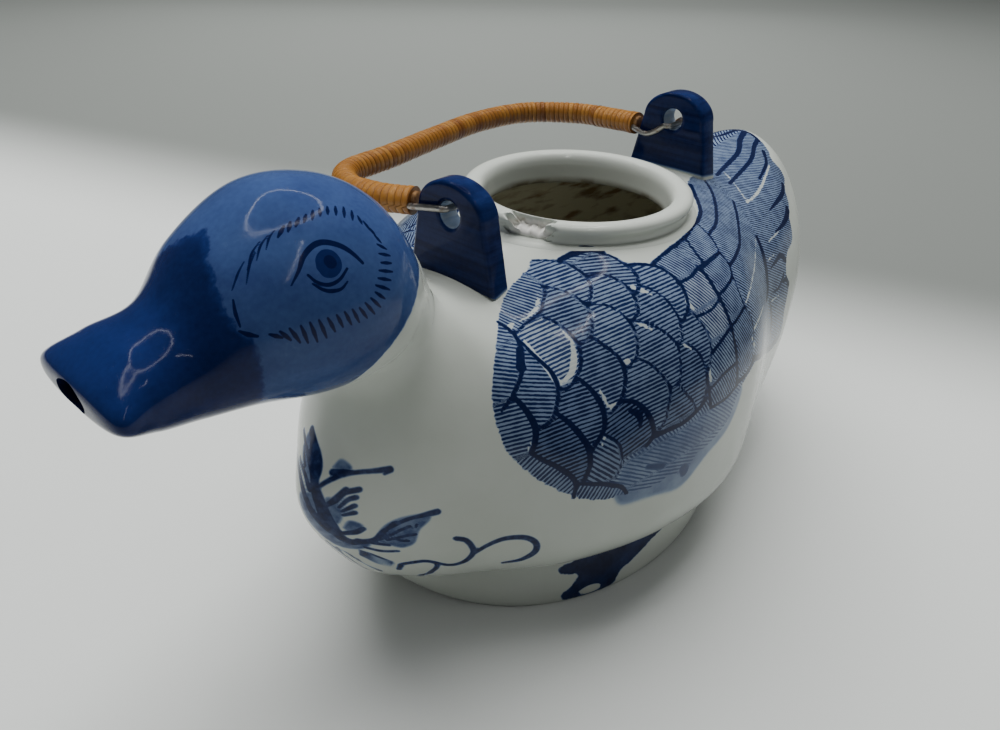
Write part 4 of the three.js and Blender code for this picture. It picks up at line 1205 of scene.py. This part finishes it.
def beside_cane(along, in_plane, up):
    """Points beside the cane: distances along it, and offsets in and out of its plane."""
    along = np.clip(along, 0, CANE_LENGTH)
    x = np.interp(along, CANE_RUN, CANE_LINE[:, 0])
    out = np.interp(along, CANE_RUN, CANE_LINE[:, 1])
    slope = np.gradient(CANE_LINE, CANE_RUN, axis=0)
    run_x = np.interp(along, CANE_RUN, slope[:, 0])
    run_out = np.interp(along, CANE_RUN, slope[:, 1])
    size = np.hypot(run_x, run_out)
    return np.stack([x - in_plane * run_out / size, out + in_plane * run_x / size,
                     up - CANE_SAG + 0 * x], -1)


def make_winding(name, start, length, half_width, node_name, material, seed):
    """A strip wound on the cane in close turns; the rows of its mesh follow the strip."""
    rng = np.random.default_rng(seed)
    turns = int(round(length / STRIP_PITCH))
    pitch = length / turns
    rows = 8
    total = (turns + 2) * rows
    sides = 32
    place = np.arange(total + 1) / rows - 1
    number = np.floor(place).astype(int)
    across = place - number
    swell = 1 - (2 * across - 1) ** 4
    own = rng.uniform(-0.12, 0.12, turns + 6)
    thick = (STRIP_THICKNESS - 0.1 + 0.5 * own[number + 2]) * (0.66 + 0.34 * swell)
    angle = np.arange(sides) / sides * 2 * np.pi
    along = start + (place[:, None] + angle[None] / (2 * np.pi)) * pitch
    shown = np.clip(along, start, start + length)
    rim = (half_width + thick)[:, None] * np.cos(angle)[None]
    rise = (CANE_RADIUS + 0.35 + thick)[:, None] * np.sin(angle)[None]
    rings = beside_cane(shown.ravel(), rim.ravel(), rise.ravel())
    rings = bail_to_pot(rings).reshape(total + 1, sides, 3)
    ends = bail_to_pot(np.array([beside_cane(np.array([start]), 0, 0)[0],
                                 beside_cane(np.array([start + length]), 0, 0)[0]]))
    winding = skin(name, rings, ends)
    turn = np.repeat(place, sides)
    around = np.tile(angle / (2 * np.pi), total + 1)
    mark(winding, "turn", np.append(turn, [0.0, 0.0]))
    mark(winding, "around", np.append(around, [0.0, 0.0]))
    smooth(winding, 60)
    finish_piece(winding, "handle", [node_name], material)


def make_cane():
    along = np.concatenate([[0, 0.15, 0.5], np.linspace(1.2, CANE_LENGTH - 1.2, 160),
                            CANE_LENGTH - np.array([0.5, 0.15, 0])])
    size = np.full(len(along), CANE_RADIUS)
    size[[0, -1]] -= 0.5
    size[[1, -2]] -= 0.18
    angle = np.arange(28) / 28 * 2 * np.pi
    spots = beside_cane(np.repeat(along, 28), np.outer(size, np.cos(angle)).ravel(),
                        np.outer(size, np.sin(angle)).ravel())
    rings = bail_to_pot(spots).reshape(len(along), 28, 3)
    ends = bail_to_pot(np.array([beside_cane(np.array([0.0]), 0, 0)[0],
                                 beside_cane(np.array([CANE_LENGTH]), 0, 0)[0]]))
    cane = skin("cane", rings, ends)
    smooth(cane, 40)
    finish_piece(cane, "handle", ["handle_core"], cane_material())


def make_wire(name, lug_x, thickness, at_rear, node_name, material):
    """A wire loop: up beside the cane, along the lug's face, through the eye and back."""
    face = thickness / 2 + 0.65 + WIRE_RADIUS
    beside = CANE_RADIUS + 0.2
    route = []
    for side in (-1, 1):
        turned = -side if at_rear else side
        leg = []
        for along in (15.5, 12, 8, 4, 2.5):
            run = CANE_LENGTH - along if at_rear else along
            leg.append(beside_cane(np.array([run]), -turned * beside, -0.4)[0].tolist())
        for reach, sag in ((12.3, 1.4), (9, 2.6), (5.5, 1.9)) if at_rear else ((12, 0), (7, 0)):
            fall = CANE_SAG * (reach - 2) / 10.3 + sag
            leg.append([lug_x + side * face, reach, -fall])
        for degrees in (90, 70, 50, 30, 10):
            turn = math.radians(degrees)
            leg.append([lug_x + side * (face - 2 * (1 - math.sin(turn))),
                        2 * (1 - math.cos(turn)), 0])
        route += leg if side < 0 else leg[::-1]
    line = bail_to_pot(smooth_route(route, 180))
    curve = bpy.data.curves.new(name, "CURVE")
    curve.dimensions = "3D"
    curve.bevel_depth = WIRE_RADIUS * MM
    curve.bevel_resolution = 4
    curve.use_fill_caps = True
    spline = curve.splines.new("POLY")
    spline.points.add(len(line) - 1)
    for point, (x, y, z) in zip(spline.points, line):
        point.co = (x * MM, y * MM, z * MM, 1)
    wire = curve_piece(name, curve)
    smooth(wire, 50)
    finish_piece(wire, "handle", [node_name], material)


BODY_RINGS, BODY_SIDES = ((318, 318))
HEAD_RINGS, HEAD_SIDES = ((300, 316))

make_body()
make_head()
make_collar()
make_foot()
make_lug("lug_front", -52.6, 115.2, 7, "front_lug", 0.3)
make_lug("lug_rear", 58.1, 119.1, 8.4, "rear_lug", 1.2)
make_cane()
rattan = rattan_material()
steel = wire_material()
make_winding("wrap", 18, CANE_LENGTH - 36, CANE_RADIUS + 0.35, "handle_wrap", rattan, 3)
make_winding("binding_front", 1.2, 17.4, 3.9, "front_end_binding", rattan, 4)
make_winding("binding_rear", CANE_LENGTH - 18.6, 17.4, 3.9, "rear_end_binding", rattan, 5)
make_wire("wire_front", -52.6, 7, False, "front_wire_loop", steel)
make_wire("wire_rear", 58.1, 8.4, True, "rear_wire_loop", steel)


# Camera, floor and light.

def placed(right, up, back, place):
    """The matrix of an object with these directions of its own, at a place in metres."""
    rows = [[right[row], up[row], back[row], place[row]] for row in range(3)]
    return Matrix(rows + [[0, 0, 0, 1]])


# The camera's place in millimetres, and its heading, were solved from the photograph.
CAMERA_PLACE = (-183, -128, 187.4)
LENS = 26.676
PITCH, AHEAD, ROLL = math.radians(33.2), math.radians(40.7), math.radians(1.6)
looks = np.array([math.cos(AHEAD) * math.cos(PITCH), math.sin(AHEAD) * math.cos(PITCH),
                  -math.sin(PITCH)])
level = np.array([math.sin(AHEAD), -math.cos(AHEAD), 0])
upward = np.cross(level, looks)
right = math.cos(ROLL) * level + math.sin(ROLL) * upward
above = math.cos(ROLL) * upward - math.sin(ROLL) * level
camera_data = bpy.data.cameras.new("camera")
camera_data.sensor_width = 36
camera_data.lens = LENS
camera = bpy.data.objects.new("camera", camera_data)
bpy.context.scene.collection.objects.link(camera)
camera.matrix_world = placed(right, above, -looks, [MM * value for value in CAMERA_PLACE])
bpy.context.scene.camera = camera

bpy.ops.mesh.primitive_plane_add(size=24)
floor = bpy.context.object
floor.name = "floor"
paper, tree = new_material("Pale paper")
where = node(tree, "ShaderNodeTexCoord").outputs["Object"]
across_floor = node(tree, "ShaderNodeVectorMath", {0: where, 1: (0.95, 0.3, 0)},
                    operation="DOT_PRODUCT").outputs["Value"]
away_share = ease(tree, across_floor, 0.08, 0.25)
shaded = mixed(tree, away_share, (0.6, 0.62, 0.6, 1), (0.15, 0.161, 0.15, 1))
close_material(tree, {"Base Color": shaded, "Roughness": 0.9})
floor.data.materials.append(paper)


def lamp(name, place, aim, size, power, along=None, glossy=False):
    """An area light in metres and watts, turned towards a point."""
    data = bpy.data.lights.new(name, "AREA")
    data.shape = "RECTANGLE"
    data.size, data.size_y = size
    data.energy = power
    light = bpy.data.objects.new(name, data)
    bpy.context.scene.collection.objects.link(light)
    light.visible_glossy = glossy
    way = np.array(aim, float) - np.array(place, float)
    away = -way / np.linalg.norm(way)
    side = np.cross((0, 0, 1), away) if along is None else np.array(along, float)
    side = side - (side @ away) * away
    side /= np.linalg.norm(side)
    up = np.cross(away, side)
    light.matrix_world = placed(side, up, away, place)


# Soft light from above, behind and both sides, and what shines in the glaze: a thin
# oblong ring of tubes overhead and the bright edge of the tent's opening.
lamp("overhead", (0.55, 0.6, 1.4), (0.25, 0.25, 0), (1.8, 1.8), 58, along=(1, 0, 0))
lamp("back wall", (0.75, 0.75, 0.5), (0, 0, 0.05), (1.1, 0.7), 4.5)
lamp("left wall", (-0.75, 0.5, 0.4), (0, 0, 0.05), (0.7, 0.5), 0.9)
lamp("right wall", (0.75, -0.6, 0.4), (0, 0, 0.05), (0.7, 0.5), 1.2)
for number in range(20):
    turn = 2 * math.pi * number / 20
    c, s = math.cos(turn), math.sin(turn)
    place = (0.03 + 0.3 * c, 0.2 + 0.23 * s, 0.66)
    lamp(f"ring {number}", place, (place[0], place[1], 0), (0.095, 0.02), 0.055,
         along=(-0.3 * s, 0.23 * c, 0), glossy=True)
lamp("opening", (-0.2, -0.3, 0.62), (-0.1, -0.02, 0.1), (0.3, 0.008), 0.2,
     along=(-0.58, -0.74, 0), glossy=True)

world = bpy.data.worlds.new("pale room")
bpy.context.scene.world = world
world.use_nodes = True
world.node_tree.nodes["Background"].inputs["Color"].default_value = (0.62, 0.65, 0.68, 1)
world.node_tree.nodes["Background"].inputs["Strength"].default_value = 0.1
